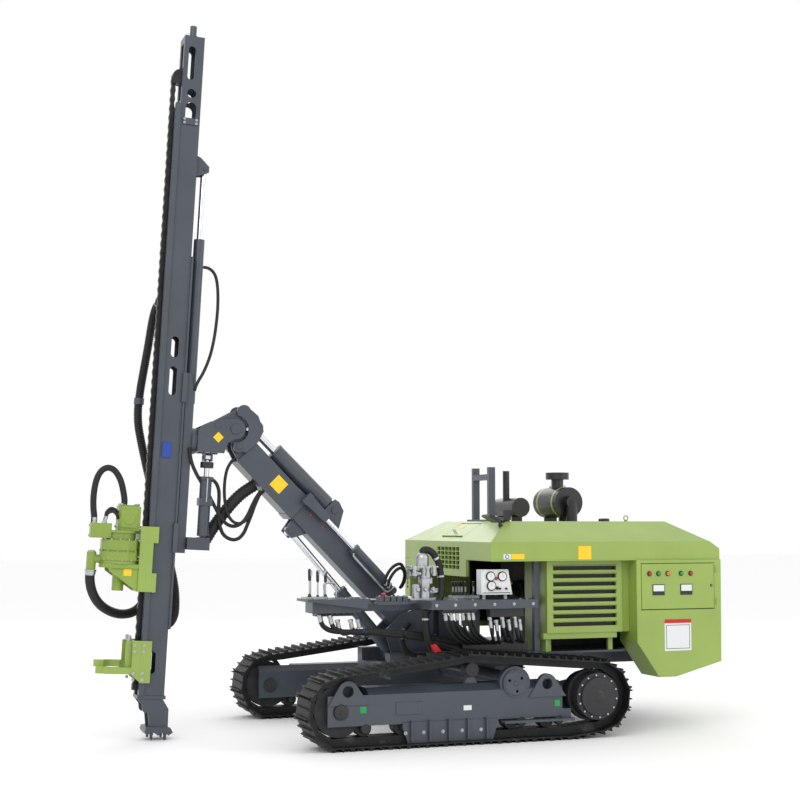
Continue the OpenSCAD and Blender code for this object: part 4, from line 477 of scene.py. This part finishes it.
def hood_details():
    mesh = Piece("grille_mesh", "base", "black")
    mesh.box(-262, -256, -230, 350, 1300, 1530)
    mesh.box(-262, -256, -950, -885, 1070, 1400)
    mesh.done()
    seams = Piece("hood_seams", "base", "black")
    seams.box(HOOD_FRONT - 1, HOOD_FRONT + 0.6, -984, -860, 1403, 1406)
    seams.box(-1580, -2288, BOX_HALF - 1, BOX_HALF + 0.6, 996, 1000)
    seams.box(-1580, -2288, BOX_HALF - 1, BOX_HALF + 0.6, 1383, 1386)
    seams.done()
    trim = Piece("hood_edges", "base", "lime")
    for s in (1, -1):
        trim.box(-2350, HOOD_FRONT, *sorted((s * (HOOD_HALF - 1), s * (HOOD_HALF + 3))), BAND_LOW - 2, BAND_LOW + 10)
    trim.box(HOOD_FRONT - 1, HOOD_FRONT + 4, -860, 473, 1272, 1284)
    trim.box(HOOD_FRONT - 1, HOOD_FRONT + 4, 463, 475, 1274, 1412)
    trim.done(1.5)
    handle = Piece("hatch_handle", "hood_hatch", "zinc")
    for y in (-70, -30):
        handle.rod(bevel_point(-345, y), bevel_point(-345, y, 26), 4, 10)
    handle.tube([bevel_point(-345, -70, 26), bevel_point(-345, -50, 30), bevel_point(-345, -30, 26)], 4, 10)
    handle.done()
    lip = Piece("hatch_lip", "hood_hatch", "lime")
    lip.prism([(p[0], p[2]) for p in (bevel_point(-290, 0, 2), bevel_point(-300, 0, 2), bevel_point(-300, 0, 8), bevel_point(-288, 0, 10))], -222, 222)
    lip.done(1)
    sign = Piece("warning_squares", "base", "yellow")
    sign.box(-1128, -1010, HOOD_HALF - 1, HOOD_HALF + 1.2, 1418, 1531)
    sign.box(-522, -404, HOOD_HALF - 1, HOOD_HALF + 1.2, 1428, 1470)
    sign.add([bevel_point(x, y, 1.2) for x, y in ((-440, -110), (-440, -30), (-395, -30), (-395, -110))], [(0, 1, 2, 3)])
    sign.done()
    white = Piece("white_sticker", "base", "panel")
    white.box(-400, -336, HOOD_HALF - 1, HOOD_HALF + 1.2, 1428, 1470)
    white.done()
    ring = Piece("blue_ring", "base", "blue")
    ring.turned((-368, HOOD_HALF + 1, 1449), (-368, HOOD_HALF + 2, 1449), [(0, 18), (1, 18)], 32)
    ring.done()
    dot = Piece("sticker_middle", "base", "panel")
    dot.turned((-368, HOOD_HALF + 1.8, 1449), (-368, HOOD_HALF + 2.6, 1449), [(0, 12), (1, 12)], 32)
    dot.done()
    eye = Piece("lifting_eye", "base", "lime")
    pts = [(-1833 + 20 * math.cos(a), 300, 1765 + 20 * math.sin(a)) for a in [math.tau * k / 24 - math.pi / 2 for k in range(25)]]
    eye.tube(pts, 5, 10, 1)
    eye.cap((-1833, 300, ROOF_Z), (-1833, 300, 1747), 16)
    eye.done()
    caps = Piece("roof_caps", "base", "black")
    for x, y, r in ((-520, 420, 34), (-560, 250, 30), (-1560, 420, 40), (-1690, 120, 30)):
        caps.turned((x, y, ROOF_Z), (x, y, ROOF_Z + 26), [(0, r), (0.7, r), (1, r * 0.8)], 28)
    caps.done()
    lamp = Piece("floodlight", "base", "black")
    lamp.prism([(-395, 1742), (-300, 1790), (-292, 1772), (-388, 1722)], 640, 800, "y")
    for k in range(7):
        y = 650 + k * 23
        lamp.prism([(-400, 1736), (-310, 1782), (-318, 1794), (-408, 1748)], y, y + 5, "y")
    lamp.tube([(-400, 720, 1735), (-430, 720, 1715), (-430, 720, 1695)], 9, 10)
    lamp.cap((-430, 720, 1690), (-430, 720, 1712), 20)
    lamp.done(2)
    cable = Piece("lamp_cable", "base", "rubber")
    cable.tube([(-395, 700, 1748), (-440, 680, 1775), (-480, 650, 1765), (-478, 640, 1742), (-470, 640, 1722)], 5, 8)
    cable.done()


def control_box_details():
    y = BOX_HALF + 2
    bezel = Piece("lamp_bezels", "panel_door", "black")
    for x in (-1660, -1746, -1834, -1962, -2054):
        bezel.turned((x, y, 1298), (x, y + 8, 1298), [(0, 22), (0.6, 22), (1, 17)], 28)
    for x in (-1688, -1954):
        bezel.box(x - 114, x, y - 1, y + 5, 1119, 1209)
    bezel.turned((-2255, y, 1195), (-2255, y + 5, 1195), [(0, 12), (0.7, 12), (1, 9)], 28)
    bezel.done(1)
    for look, xs in (("red", (-1660, -2054)), ("green", (-1746, -1962)), ("orange", (-1834,))):
        lamp = Piece("lamps_" + look, "panel_door", look)
        for x in xs:
            lamp.turned((x, y + 7, 1298), (x, y + 22, 1298), [(0, 14), (0.5, 14), (0.85, 10), (1, 4)], 28)
        lamp.done()
    face = Piece("meter_faces", "panel_door", "panel")
    for x in (-1688, -1954):
        face.box(x - 108, x - 6, y + 4, y + 6.5, 1152, 1203)
    face.done()
    key = Piece("lock_slot", "panel_door", "zinc")
    key.box(-2261, -2249, y + 4.5, y + 6, 1193, 1197)
    key.done()
    y = BOX_HALF
    plate = Piece("blank_plate", "base", "panel")
    plate.box(-2053, -1798, y, y + 2, 655, 917)
    plate.done(0.5)
    head = Piece("blank_plate_head", "base", "red")
    head.box(-2053, -1798, y + 1.9, y + 2.8, 884, 917)
    head.done()
    frame_ = Piece("blank_plate_frame", "base", "cast")
    for x0, x1, z0, z1 in ((-2038, -1814, 866, 870), (-2038, -1814, 672, 676), (-2038, -2034, 672, 870), (-1818, -1814, 672, 870)):
        frame_.box(x0, x1, y + 1.9, y + 2.7, z0, z1)
    frame_.done()
    hinge = Piece("door_hinges", "base", "lime")
    for z in (1060, 1330):
        hinge.rod((-2301, y + 3, z - 26), (-2301, y + 3, z + 26), 6, 16)
    hinge.done()


hood_details()
control_box_details()


# Deck, console, instruments and valves

def gripped_lever(zinc, black, foot, top, r=6, grip=0.42):
    """A lever with a black grip round its upper part."""
    a, b = Vector(foot), Vector(top)
    middle = a.lerp(b, 1 - grip)
    zinc.rod(a, b, r, 12)
    black.turned(middle, b + (b - a) * 0.03, [(0, r + 3), (0.1, r + 6), (0.85, r + 7), (1, r + 2)], 16)


def fitting(piece, start, end, r):
    """A hose end: a hexagon nut, a collar and a crimped sleeve."""
    a, b = Vector(start), Vector(end)
    piece.turned(a, a.lerp(b, 0.3), [(0, r * 1.15), (0.9, r * 1.15), (1, r)], 6)
    piece.turned(a.lerp(b, 0.3), b, [(0, r * 0.8), (0.2, r * 0.8), (0.21, r), (0.45, r * 0.95), (0.7, r), (1, r * 0.9)], 18)


def deck_details():
    zinc = Piece("console_levers_bright", "base", "zinc")
    black = Piece("console_levers_grips", "base", "black")
    for x0, z0, x1, z1 in ((1189, 1141, 1190, 1352), (1122, 1130, 1123, 1341), (1057, 1135, 1058, 1330)):
        gripped_lever(zinc, black, (x0, 640, z0), (x1, 640, z1))
        black.turned((x0, 640, z0 - 14), (x0, 640, z0 + 22), [(0, 20), (0.3, 18), (1, 8)], 16)
    zinc.tube([(1055, 604, 1124), (1056, 604, 1180), (1060, 604, 1228), (1040, 604, 1241), (980, 604, 1241), (961, 604, 1228),
               (957, 604, 1180), (955, 604, 1124)], 7, 12)
    zinc.done()
    black.done()
    plate = Piece("console_bolts", "base", "zinc")
    for x, y in ((800, 520), (800, 760), (930, 520), (930, 760), (1170, 560), (1170, 720)):
        plate.bolt((x, y, 1122), (0, 0, 1), 8, 6)
    for x, y, z in ((1130, 700, 987), (1040, 700, 968), (976, 690, 930), (867, 690, 930), (804, 690, 930)):
        fitting(plate, (x, y, z + 26), (x - 16, y, z - 44), 19)
    plate.tube([(804, 690, 890), (800, 690, 868), (812, 690, 850), (846, 690, 846), (880, 690, 862)], 15, 14)
    plate.done()
    valve = Piece("console_valves", "base", "black")
    valve.box(838, 1150, 590, 700, 985, 1038)
    for x in (1130, 1080, 1030, 980, 930, 880):
        valve.turned((x, 700, 1010), (x, 722, 1010), [(0, 19), (0.6, 19), (1, 13)], 18)
    valve.done(3)
    hoses = Piece("console_hoses", "base", "rubber")
    for k, (x, z, r) in enumerate(((1114, 943, 19), (1024, 924, 19), (960, 886, 16), (851, 886, 16))):
        y = 700 + k * 3
        hoses.tube([(x, y, z), (x - 30, y, z - 40), (x - 110, y, 868 - k * 7), (x - 240, y + 5, 862 - k * 9),
                    (560, y + 10, 858 - k * 10), (400, y + 14, 846 - k * 12), (220, y + 18, 812 - k * 12),
                    (40, y + 22, 770 - k * 10), (-120, y + 26, 742 - k * 6)], r, 14)
    hoses.done()
    ring = Piece("hose_ties", "base", "black")
    for x, z in ((760, 851), (430, 834), (150, 782)):
        ring.turned((x, 706, z), (x - 14, 706, z - 2), [(0, 44), (1, 44)], 24)
    ring.done(1)
    blue = Piece("hose_end_blue", "base", "blue")
    blue.turned((772, 705, 857), (738, 706, 855), [(0, 23), (1, 23)], 18)
    blue.done(1)
    bank = Piece("deck_valve_bank", "base", "grey")
    bank.box(406, 669, 700, 790, 1069, 1098)
    for x in (430, 482, 534, 586, 638):
        bank.box(x - 21, x + 21, 706, 784, 1098, 1136)
    bank.done(2.5)
    knob = Piece("valve_knob", "base", "red")
    knob.turned((605, 745, 1136), (605, 745, 1164), [(0, 9), (0.4, 9), (0.45, 19), (0.85, 19), (1, 12)], 20)
    knob.done()
    rod = Piece("valve_handle", "base", "zinc")
    rod.rod((669, 745, 1112), (742, 745, 1116), 7, 12)
    rod.turned((736, 745, 1116), (756, 745, 1117), [(0, 12), (0.8, 12), (1, 8)], 16)
    for x in (430, 482, 534, 586, 638):
        rod.bolt((x, 745, 1136), (0, 0, 1), 9, 9, False)
    rod.done()


def lever_details():
    zinc = Piece("deck_levers_bright", "base", "zinc")
    black = Piece("deck_levers_grips", "base", "black")
    for x in (-53, -81, -108, -132, -165, -237):
        gripped_lever(zinc, black, (x, 600, 1126), (x, 600, 1239), 5.5, 0.36)
    gripped_lever(zinc, black, (31, 600, 1105), (33, 600, 1255), 4, 0.12)
    zinc.done()
    black.done()
    block = Piece("deck_lever_bellows", "base", "black")
    for x in (-53, -81, -108, -132, -165, -237):
        block.turned((x, 600, 1127), (x, 600, 1156), [(0, 13), (0.25, 10), (0.3, 12), (0.6, 9), (0.65, 10), (1, 7)], 16)
    block.done()
    edge = Piece("deck_fasteners", "base", "zinc")
    for x in (-590, -420, -250, -80, 90, 250):
        edge.bolt((x, 1000, 1070), (0, 1, 0), 9, 6)
    for x in (-560, -500, -80, 60):
        edge.bolt((x, 950, 1105), (0, 0, 1), 8, 6)
    edge.done()
    tread = Piece("deck_tread", "base", "grey")
    for i in range(30):
        for j in range(4):
            x, y = -610 + i * 30 + (j % 2) * 15, 900 + j * 24
            if not 240 < x < 290:
                tread.turned((x, y, 1104.8), (x, y, 1106.6), [(0, 5), (1, 3)], 6)
    tread.done()
    under = Piece("under_deck_fittings", "base", "zinc")
    for x in (150, 100, 50, 0, -50, -88):
        fitting(under, (x, 930, 1014), (x - 6, 930, 946), 17)
    for i, x in enumerate((-255, -310, -365, -420, -475, -518)):
        fitting(under, (x, 890, 965 - (i % 2) * 24), (x - 10, 890, 875 - (i % 2) * 24), 17)
    under.done()
    bank = Piece("under_deck_valves", "base", "black")
    bank.box(-120, 180, 880, 960, 1012, 1036)
    bank.box(-540, -240, 850, 930, 963, 1036)
    for x in (150, 100, 50, 0, -50, -88):
        bank.box(x - 18, x + 18, 890, 962, 1004, 1014)
    bank.done(3)
    hoses = Piece("under_deck_hoses", "base", "rubber")
    for x in (150, 100, 50, 0, -50, -88):
        hoses.tube([(x - 6, 930, 948), (x - 12, 930, 905), (x - 60, 905, 830), (x - 160, 860, 770), (x - 260, 812, 742),
                    (x - 330, 800, 722)], 13, 12)
    for i, x in enumerate((-255, -310, -365, -420, -475, -518)):
        z = 875 - (i % 2) * 24
        hoses.tube([(x - 10, 890, z + 4), (x - 16, 890, z - 40), (x - 40, 870, z - 95), (x - 50, 820, 764)], 13, 12)
    hoses.done()


def instrument_details():
    y = 902
    bezel = Piece("gauge_bezels", "base", "black")
    face = Piece("gauge_faces", "base", "panel")
    pin = Piece("gauge_hands", "base", "red")
    for x, z, r in ((-257, 1290, 36), (-360, 1289, 36), (-264, 1214, 36)):
        bezel.turned((x, y - 2, z), (x, y + 12, z), [(0, r + 4), (0.7, r + 4), (1, r - 1)], 36)
        face.turned((x, y + 10, z), (x, y + 12.6, z), [(0, r - 4), (1, r - 4)], 36)
        pin.box(x - 1.2, x + 1.2, y + 12.4, y + 13.4, z - 4, z + r - 10)
    pin.turned((-307, y - 2, 1272), (-307, y + 14, 1272), [(0, 12), (0.7, 12), (1, 7)], 20)
    bezel.turned((-316, y - 2, 1196), (-316, y + 12, 1196), [(0, 13), (0.7, 13), (1, 9)], 20)
    bezel.box(-432, -190, y - 4, y - 1.6, 1154, 1160)
    for x in (-395, -340):
        bezel.turned((x, y - 2, 1190), (x, y + 18, 1190), [(0, 9), (0.6, 9), (1, 6)], 16)
    bezel.done()
    face.done()
    pin.done()
    bolts = Piece("instrument_screws", "base", "zinc")
    for x, z in ((-190, 1332), (-402, 1332), (-190, 1154), (-440, 1154)):
        bolts.bolt((x, y - 2, z), (0, 1, 0), 5, 3, False)
    bolts.done()


def air_valve_details():
    zinc = Piece("air_valve_fittings", "base", "zinc")
    for x, z, r in ((364, 1332, 22), (252, 1331, 20), (196, 1331, 20)):
        zinc.turned((x, 812, z - 34), (x, 812, z + 40), [(0, r), (0.3, r), (0.31, r * 0.75), (0.7, r * 0.75), (0.71, r), (1, r)], 20)
    zinc.ring_of_bolts((250, 750, 1275), (0, 0, 1), 54, 8, 7, 6)
    zinc.ring_of_bolts((275, 750, 1374), (0, 0, 1), 74, 8, 7, 6)
    for x in (205, 271, 336):
        zinc.turned((x, 804, 1190), (x, 826, 1190), [(0, 20), (0.5, 20), (1, 15)], 6)
    zinc.turned((330, 750, 1315), (396, 750, 1315), [(0, 40), (0.15, 40), (0.2, 34), (0.85, 34), (0.9, 41), (1, 41)], 28)
    zinc.done(1)
    rubber = Piece("air_valve_elbow", "base", "rubber")
    rubber.tube([(158, 750, 1440), (140, 752, 1410), (128, 756, 1365), (120, 762, 1300), (118, 772, 1210), (128, 790, 1140),
                 (160, 806, 1095), (210, 812, 1062), (255, 812, 1020), (271, 812, 976), (268, 812, 900), (258, 812, 820),
                 (240, 808, 760), (205, 800, 715)], 27, 18)
    rubber.tube([(275, 750, 1480), (262, 750, 1502), (226, 750, 1502), (184, 750, 1478), (158, 750, 1438)], 29, 18)
    rubber.done()
    clip = Piece("air_valve_clips", "base", "zinc")
    for a, b in (((160, 750, 1443), (152, 750, 1427)), ((270, 812, 960), (270, 812, 946)), ((119, 763, 1296), (118, 764, 1282))):
        clip.turned(a, b, [(0, 31), (1, 31)], 24)
    clip.done()
    red = Piece("air_valve_red_part", "base", "red")
    red.prism([(172, 701), (236, 694), (264, 754), (222, 762)], 884, 916)
    red.done(3)
    loop = Piece("cab_side_loop", "base", "rubber")
    loop.tube([(300, 520, 905), (345, 520, 850), (364, 510, 788), (336, 500, 700), (290, 500, 655), (250, 500, 644),
               (200, 500, 640), (155, 500, 642)], 22, 14)
    loop.done()


deck_details()
lever_details()
instrument_details()
air_valve_details()




# Rotary head, carriage and mast

DRILL_X, HEAD_Z = 412, 1340


def head_details():
    at = (DRILL_X, 0)
    zinc = Piece("head_bolts", "carriage", "zinc", MAST)
    zinc.ring_of_bolts((DRILL_X, 0, HEAD_Z + 61), (0, 0, 1), 154, 12, 9, 8, 0.26)
    zinc.ring_of_bolts((DRILL_X, 0, HEAD_Z + 222), (0, 0, 1), 138, 12, 9, 9, 0.1)
    zinc.ring_of_bolts((DRILL_X, 0, HEAD_Z + 34), (0, 0, 1), 118, 8, 8, 6, 0.2)
    for y in (-60, 60):
        for x in (300, 425):
            zinc.bolt((x, y, HEAD_Z + 504), (0, 0, 1), 12, 10)
    for z in (HEAD_Z + 330, HEAD_Z + 460):
        for y in (-55, 55):
            zinc.bolt((450, y, z), (1, 0, 0), 9, 8)
    zinc.done()
    lime = Piece("head_castings", "carriage", "lime_cast", MAST)
    for k in range(12):
        a = math.radians(15 + 30 * k)
        x, y = DRILL_X + 150 * math.cos(a), 150 * math.sin(a)
        lime.turned((x, y, HEAD_Z + 128), (x, y, HEAD_Z + 142), [(0, 13), (1, 13)], 16)
    lime.box(300, 430, 84, 90, HEAD_Z + 320, HEAD_Z + 470)
    lime.box(300, 430, -90, -84, HEAD_Z + 320, HEAD_Z + 470)
    for y in (85, -93):
        lime.turned((365, y, HEAD_Z + 395), (365, y + 8, HEAD_Z + 395), [(0, 48), (1, 48)], 40)
    lime.turned((DRILL_X, 0, HEAD_Z - 10), (DRILL_X, 0, HEAD_Z + 1), [(0, 84), (1, 92)], 40)
    lime.done(2)
    sign = Piece("gusset_sign", "carriage", "yellow", MAST)
    sign.box(330, 392, 122, 123.2, HEAD_Z - 58, HEAD_Z - 4)
    sign.done()
    ports = Piece("head_ports", "carriage", "zinc", MAST)
    for y in (32, 68):
        fitting(ports, (640, y, HEAD_Z + 348), (640, y, HEAD_Z + 392), 17)
        fitting(ports, (560, y, HEAD_Z + 348), (548, y, HEAD_Z + 404), 15)
    fitting(ports, (410, 50, HEAD_Z + 502), (410, 50, HEAD_Z + 540), 22)
    ports.turned((634, 0, HEAD_Z - 22), (634, 0, HEAD_Z - 58), [(0, 47), (0.35, 47), (0.4, 42), (0.7, 44), (1, 42)], 30)
    ports.turned((634, 0, HEAD_Z + 118), (634, 0, HEAD_Z + 134), [(0, 30), (0.6, 30), (1, 22)], 24)
    for y in (14, 86):
        for z in (HEAD_Z + 250, HEAD_Z + 330):
            ports.bolt((667, y + (6 if y < 50 else -6), z), (1, 0, 0), 7, 6)
    ports.done()
    black = Piece("head_small_hoses", "carriage", "rubber", MAST)
    black.tube([(548, 32, HEAD_Z + 402), (540, 32, HEAD_Z + 440), (505, 32, HEAD_Z + 470), (462, 30, HEAD_Z + 450),
                (452, 28, HEAD_Z + 420)], 13, 14)
    black.tube([(548, 68, HEAD_Z + 402), (538, 70, HEAD_Z + 430), (500, 78, HEAD_Z + 446), (466, 74, HEAD_Z + 420),
                (452, 60, HEAD_Z + 390)], 13, 14)
    black.done()
    clamp = Piece("air_hose_clamps", "carriage", "zinc", Matrix.Identity(4))
    for a, b in ((AIR_ROUTE[0], AIR_ROUTE[1]), (AIR_ROUTE[-1], AIR_ROUTE[-2])):
        a, b = Vector(a), Vector(b)
        for f in (0.12, 0.5):
            c = a.lerp(b, f)
            clamp.turned(c, c + (b - a).normalized() * 0.014, [(0, 0.0405), (1, 0.0405)], 28)
    clamp.done()


def carriage_details():
    bolts = Piece("carriage_bolts", "carriage", "zinc", MAST)
    for z in (1170, 1200, 1262, 1292, 1562, 1592, 1640, 1668):
        for s in (1, -1):
            bolts.bolt((150, s * 122, z), (0, s, 0), 9, 7)
    for z in (1175, 1300, 1430, 1560, 1660):
        for y in (-90, 90):
            bolts.bolt((276, y, z), (1, 0, 0), 9, 7)
    bolts.done()


def mast_details():
    bolts = Piece("mast_bolts", "mast", "zinc", MAST)
    for z in range(470, 5200, 240):
        for s in (1, -1):
            bolts.bolt((178, s * 60, z), (1, 0, 0), 7, 5, False)
    for z in (5012, 5042):
        for x in (30, 130):
            bolts.bolt((x, 102, z), (0, 1, 0), 8, 7)
    bolts.done()
    plate = Piece("mast_top_block", "mast", "grey", MAST)
    plate.box(20, 140, 98, 102, 5000, 5055)
    plate.done(2)
    lamp = Piece("mast_lamp_lens", "mast", "panel", MAST)
    lamp.turned((125, 0, 5770), (125, 0, 5800), [(0, 20), (1, 20)], 28)
    lamp.done()


def swing_cylinder_details():
    ports = Piece("swing_cylinder_ports", "swing_barrel", "grey", MAST)
    ports.box(-286, -178, 42, 150, 1869, 1932)
    ports.box(-284, -180, 44, 148, 2078, 2104)
    ports.done(4)
    pipe = Piece("swing_cylinder_pipe", "swing_barrel", "zinc", MAST)
    pipe.rod((-232, 156, 1900), (-232, 156, 2092), 6)
    pipe.done()
    cap = Piece("swing_rod_cap", "swing_rod", "black", MAST)
    cap.turned((-232, 96, 2176), (-232, 96, 2226), [(0, 50), (0.06, 54), (0.94, 54), (1, 50)], 32)
    cap.done()


def clamp_details():
    bolts = Piece("rod_clamp_bolts", "mast", "zinc", MAST)
    for z in (470, 520, 690, 740):
        for x in (195, 268):
            bolts.bolt((x, 134, z), (0, 1, 0), 9, 7)
            bolts.bolt((x, -134, z), (0, -1, 0), 9, 7)
    bolts.done()
    fit = Piece("rod_clamp_fittings", "mast", "zinc", MAST)
    fitting(fit, (300, 60, 770), (300, 60, 812), 15)
    fitting(fit, (300, -60, 770), (300, -60, 812), 15)
    fit.done()


head_details()
carriage_details()
mast_details()
swing_cylinder_details()
clamp_details()


# Boom

def boom_details():
    zinc = Piece("boom_fittings", "lower_boom", "zinc", BOOM)
    zinc.tube([(320, 190, 122), (326, 190, 60), (345, 190, 40), (420, 190, 38), (600, 190, 38), (740, 190, 40), (765, 190, 48),
               (772, 190, 60)], 9, 12)
    fitting(zinc, (372, 205, 110), (364, 225, 70), 15)
    fitting(zinc, (404, 205, 110), (398, 225, 66), 15)
    zinc.done()
    hose = Piece("boom_cylinder_hose", "lower_boom", "rubber")
    hose.tube([(382, 226, 1190), (372, 232, 1240), (345, 236, 1290), (305, 232, 1330), (258, 214, 1342), (224, 192, 1312),
               (214, 172, 1264), (220, 150, 1216), (236, 124, 1172)], 13, 14)
    hose.tube([(410, 226, 1214), (404, 236, 1262), (378, 242, 1316), (330, 238, 1362), (272, 218, 1378), (232, 190, 1350),
               (204, 168, 1290), (206, 146, 1230), (222, 124, 1180)], 13, 14)
    hose.done()
    red = Piece("boom_pin_tips", "boom_sleeve", "red", BOOM)
    for u in (1115, 1258):
        red.turned((u, 150, 20), (u, 158, 20), [(0, 9), (1, 6)], 14)
    red.done()


boom_details()


# Roof

def roof_details():
    band = Piece("air_cleaner_straps", "base", "lime")
    zinc = Piece("roof_clamps", "base", "zinc")
    for y in (-348, -48):
        band.turned((-1410, y - 16, 1905), (-1410, y + 16, 1905), [(0, 138), (1, 138)], 48)
        zinc.bolt((-1410, y, 2043), (0, 0, 1), 8, 14)
    band.done(1)
    zinc.done()


roof_details()




# Inside the hood and behind the grilles

def inside_details():
    core = Piece("radiator_cores", "base", "black")
    core.box(-1410, -820, 820, 856, 822, 1392)
    core.box(-1410, -820, -856, -820, 822, 1392)
    core.box(-262, -256, -190, 330, 1322, 1530)
    core.done()
    fins = Piece("radiator_fins", "base", "cast")
    for i in range(38):
        x = -1402 + i * 15.5
        fins.box(x, x + 3, 856, 860, 824, 1390)
        fins.box(x, x + 3, -860, -856, 824, 1390)
    fins.done()
    pump = Piece("pump_group", "base", "black")
    pump.turned((-890, 120, 1080), (-740, 120, 1080), [(0, 150), (0.3, 150), (0.35, 120), (0.8, 110), (1, 80)], 32)
    pump.turned((-890, -150, 1050), (-760, -150, 1050), [(0, 110), (0.5, 110), (0.55, 80), (1, 70)], 28)
    pump.done(3)
    fit = Piece("pump_fittings", "base", "zinc")
    for y, z in ((120, 1190), (60, 1180), (-150, 1155), (180, 1010)):
        fitting(fit, (-800, y, z), (-770, y, z + 50), 18)
    fit.done()
    hoses = Piece("pump_hoses", "base", "rubber")
    for k, (y, z) in enumerate(((120, 1240), (60, 1230), (-150, 1205), (180, 1060))):
        hoses.tube([(-770, y, z), (-750, y + 10, z + 30), (-720, y + 40, z - 20), (-700, y + 80, z - 180),
                    (-690, y + 100, 820 + k * 14), (-690, y + 110, 745)], 15, 12)
    hoses.done()


inside_details()




# Signs and the hoses from the cradle to the boom's underside

def diamond(name, body, centre, half):
    x, y, z = centre
    sign = Piece(name, body, "yellow")
    sign.prism([(x - half, z), (x, z - half), (x + half, z), (x, z + half)], y, y + 1.2)
    sign.done()


def sign_details():
    diamond("bracket_sign", "mast_bracket", (1818, 135, 2417), 44)
    diamond("sleeve_sign", "boom_sleeve", (1298, 107, 2039), 80)
    blue = Piece("mast_blank_plate", "mast", "blue", MAST)
    blue.box(70, 142, 101, 102.5, 2242, 2366)
    blue.done()


def spanning_hose(name, route, radius, ribs=0.0):
    """A hose from the cradle to the boom's underside, baked in place where it is drawn."""
    hose = Piece(name, "boom_sleeve", "rubber")
    hose.tube(route, radius - ribs, 20, 6, ribs, radius * 0.5 if ribs else None)
    obj = hose.done(bend=("boom_sleeve", "mast_bracket", (1.20, 0.0, 1.8), (1.57, 0.0, 1.8)))


spanning_hose("guard_hose", [
    (1892, 16, 1580), (1866, 12, 1620), (1838, 8, 1664), (1806, 4, 1708), (1774, 0, 1752), (1740, 0, 1796),
    (1706, 0, 1838), (1672, 0, 1878), (1636, 0, 1916), (1600, 0, 1950), (1564, 0, 1978), (1530, 0, 2001), (1502, 0, 2018),
    (1479, 0, 2032)], 51, 4)
spanning_hose("tilt_hose_long", [
    (2045, 96, 2330), (2040, 98, 2262), (2022, 100, 2190), (1990, 102, 2120), (1954, 102, 2060), (1916, 100, 2000),
    (1880, 96, 1940), (1846, 90, 1880), (1812, 84, 1820), (1774, 76, 1762), (1728, 68, 1714), (1674, 62, 1694),
    (1620, 58, 1706), (1574, 54, 1744), (1540, 52, 1796), (1514, 50, 1852), (1486, 50, 1908), (1456, 50, 1956), (1434, 50, 1985)], 15)
spanning_hose("tilt_hose_short", [
    (1898, 100, 2052), (1872, 100, 2070), (1842, 98, 2062), (1816, 94, 2030), (1800, 90, 1984), (1796, 86, 1930),
    (1797, 82, 1870), (1796, 76, 1806), (1790, 68, 1742), (1776, 60, 1680), (1748, 52, 1626), (1704, 48, 1594),
    (1654, 46, 1584), (1608, 44, 1602), (1572, 42, 1646), (1546, 40, 1704), (1520, 38, 1766), (1496, 36, 1830),
    (1474, 34, 1890), (1452, 32, 1946), (1430, 32, 1982)], 15)
sign_details()




# The long air hose beside the mast's far side

MAST_ROUTE = [
    (2266, -112, 3530), (2268, -160, 3528), (2274, -215, 3508), (2284, -258, 3462), (2296, -280, 3390), (2310, -288, 3290),
    (2326, -290, 3180), (2344, -290, 3070), (2362, -290, 2962), (2379, -290, 2856), (2392, -290, 2752), (2401, -290, 2648),
    (2396, -290, 2530), (2374, -290, 2408), (2348, -290, 2290), (2320, -290, 2170), (2290, -290, 2050), (2260, -290, 1930),
    (2228, -290, 1810), (2196, -290, 1690), (2164, -290, 1572), (2134, -290, 1454), (2108, -288, 1344), (2086, -282, 1240),
    (2076, -266, 1146), (2078, -240, 1052), (2092, -208, 970), (2134, -166, 908), (2206, -118, 884)]


def mast_hose():
    hose = Piece("mast_hose", "mast", "rubber")
    hose.tube(MAST_ROUTE, 32, 20, 6, 4, 18)
    hose.done()
    ends = Piece("mast_hose_ends", "mast", "zinc")
    ends.turned((2265, -98, 3531), (2266, -124, 3529), [(0, 52), (0.4, 52), (0.45, 44), (1, 44)], 6)
    ends.turned((2228, -98, 880), (2204, -124, 886), [(0, 52), (0.4, 52), (0.45, 44), (1, 44)], 6)
    ends.done(1)
    guide = Piece("mast_hose_guides", "mast", "grey")
    for a, b in (((2392, -290, 2752), (2396, -290, 2700)), ((2228, -290, 1810), (2216, -290, 1765))):
        guide.turned(a, b, [(0, 42), (1, 42)], 28)
    guide.done(1)


mast_hose()
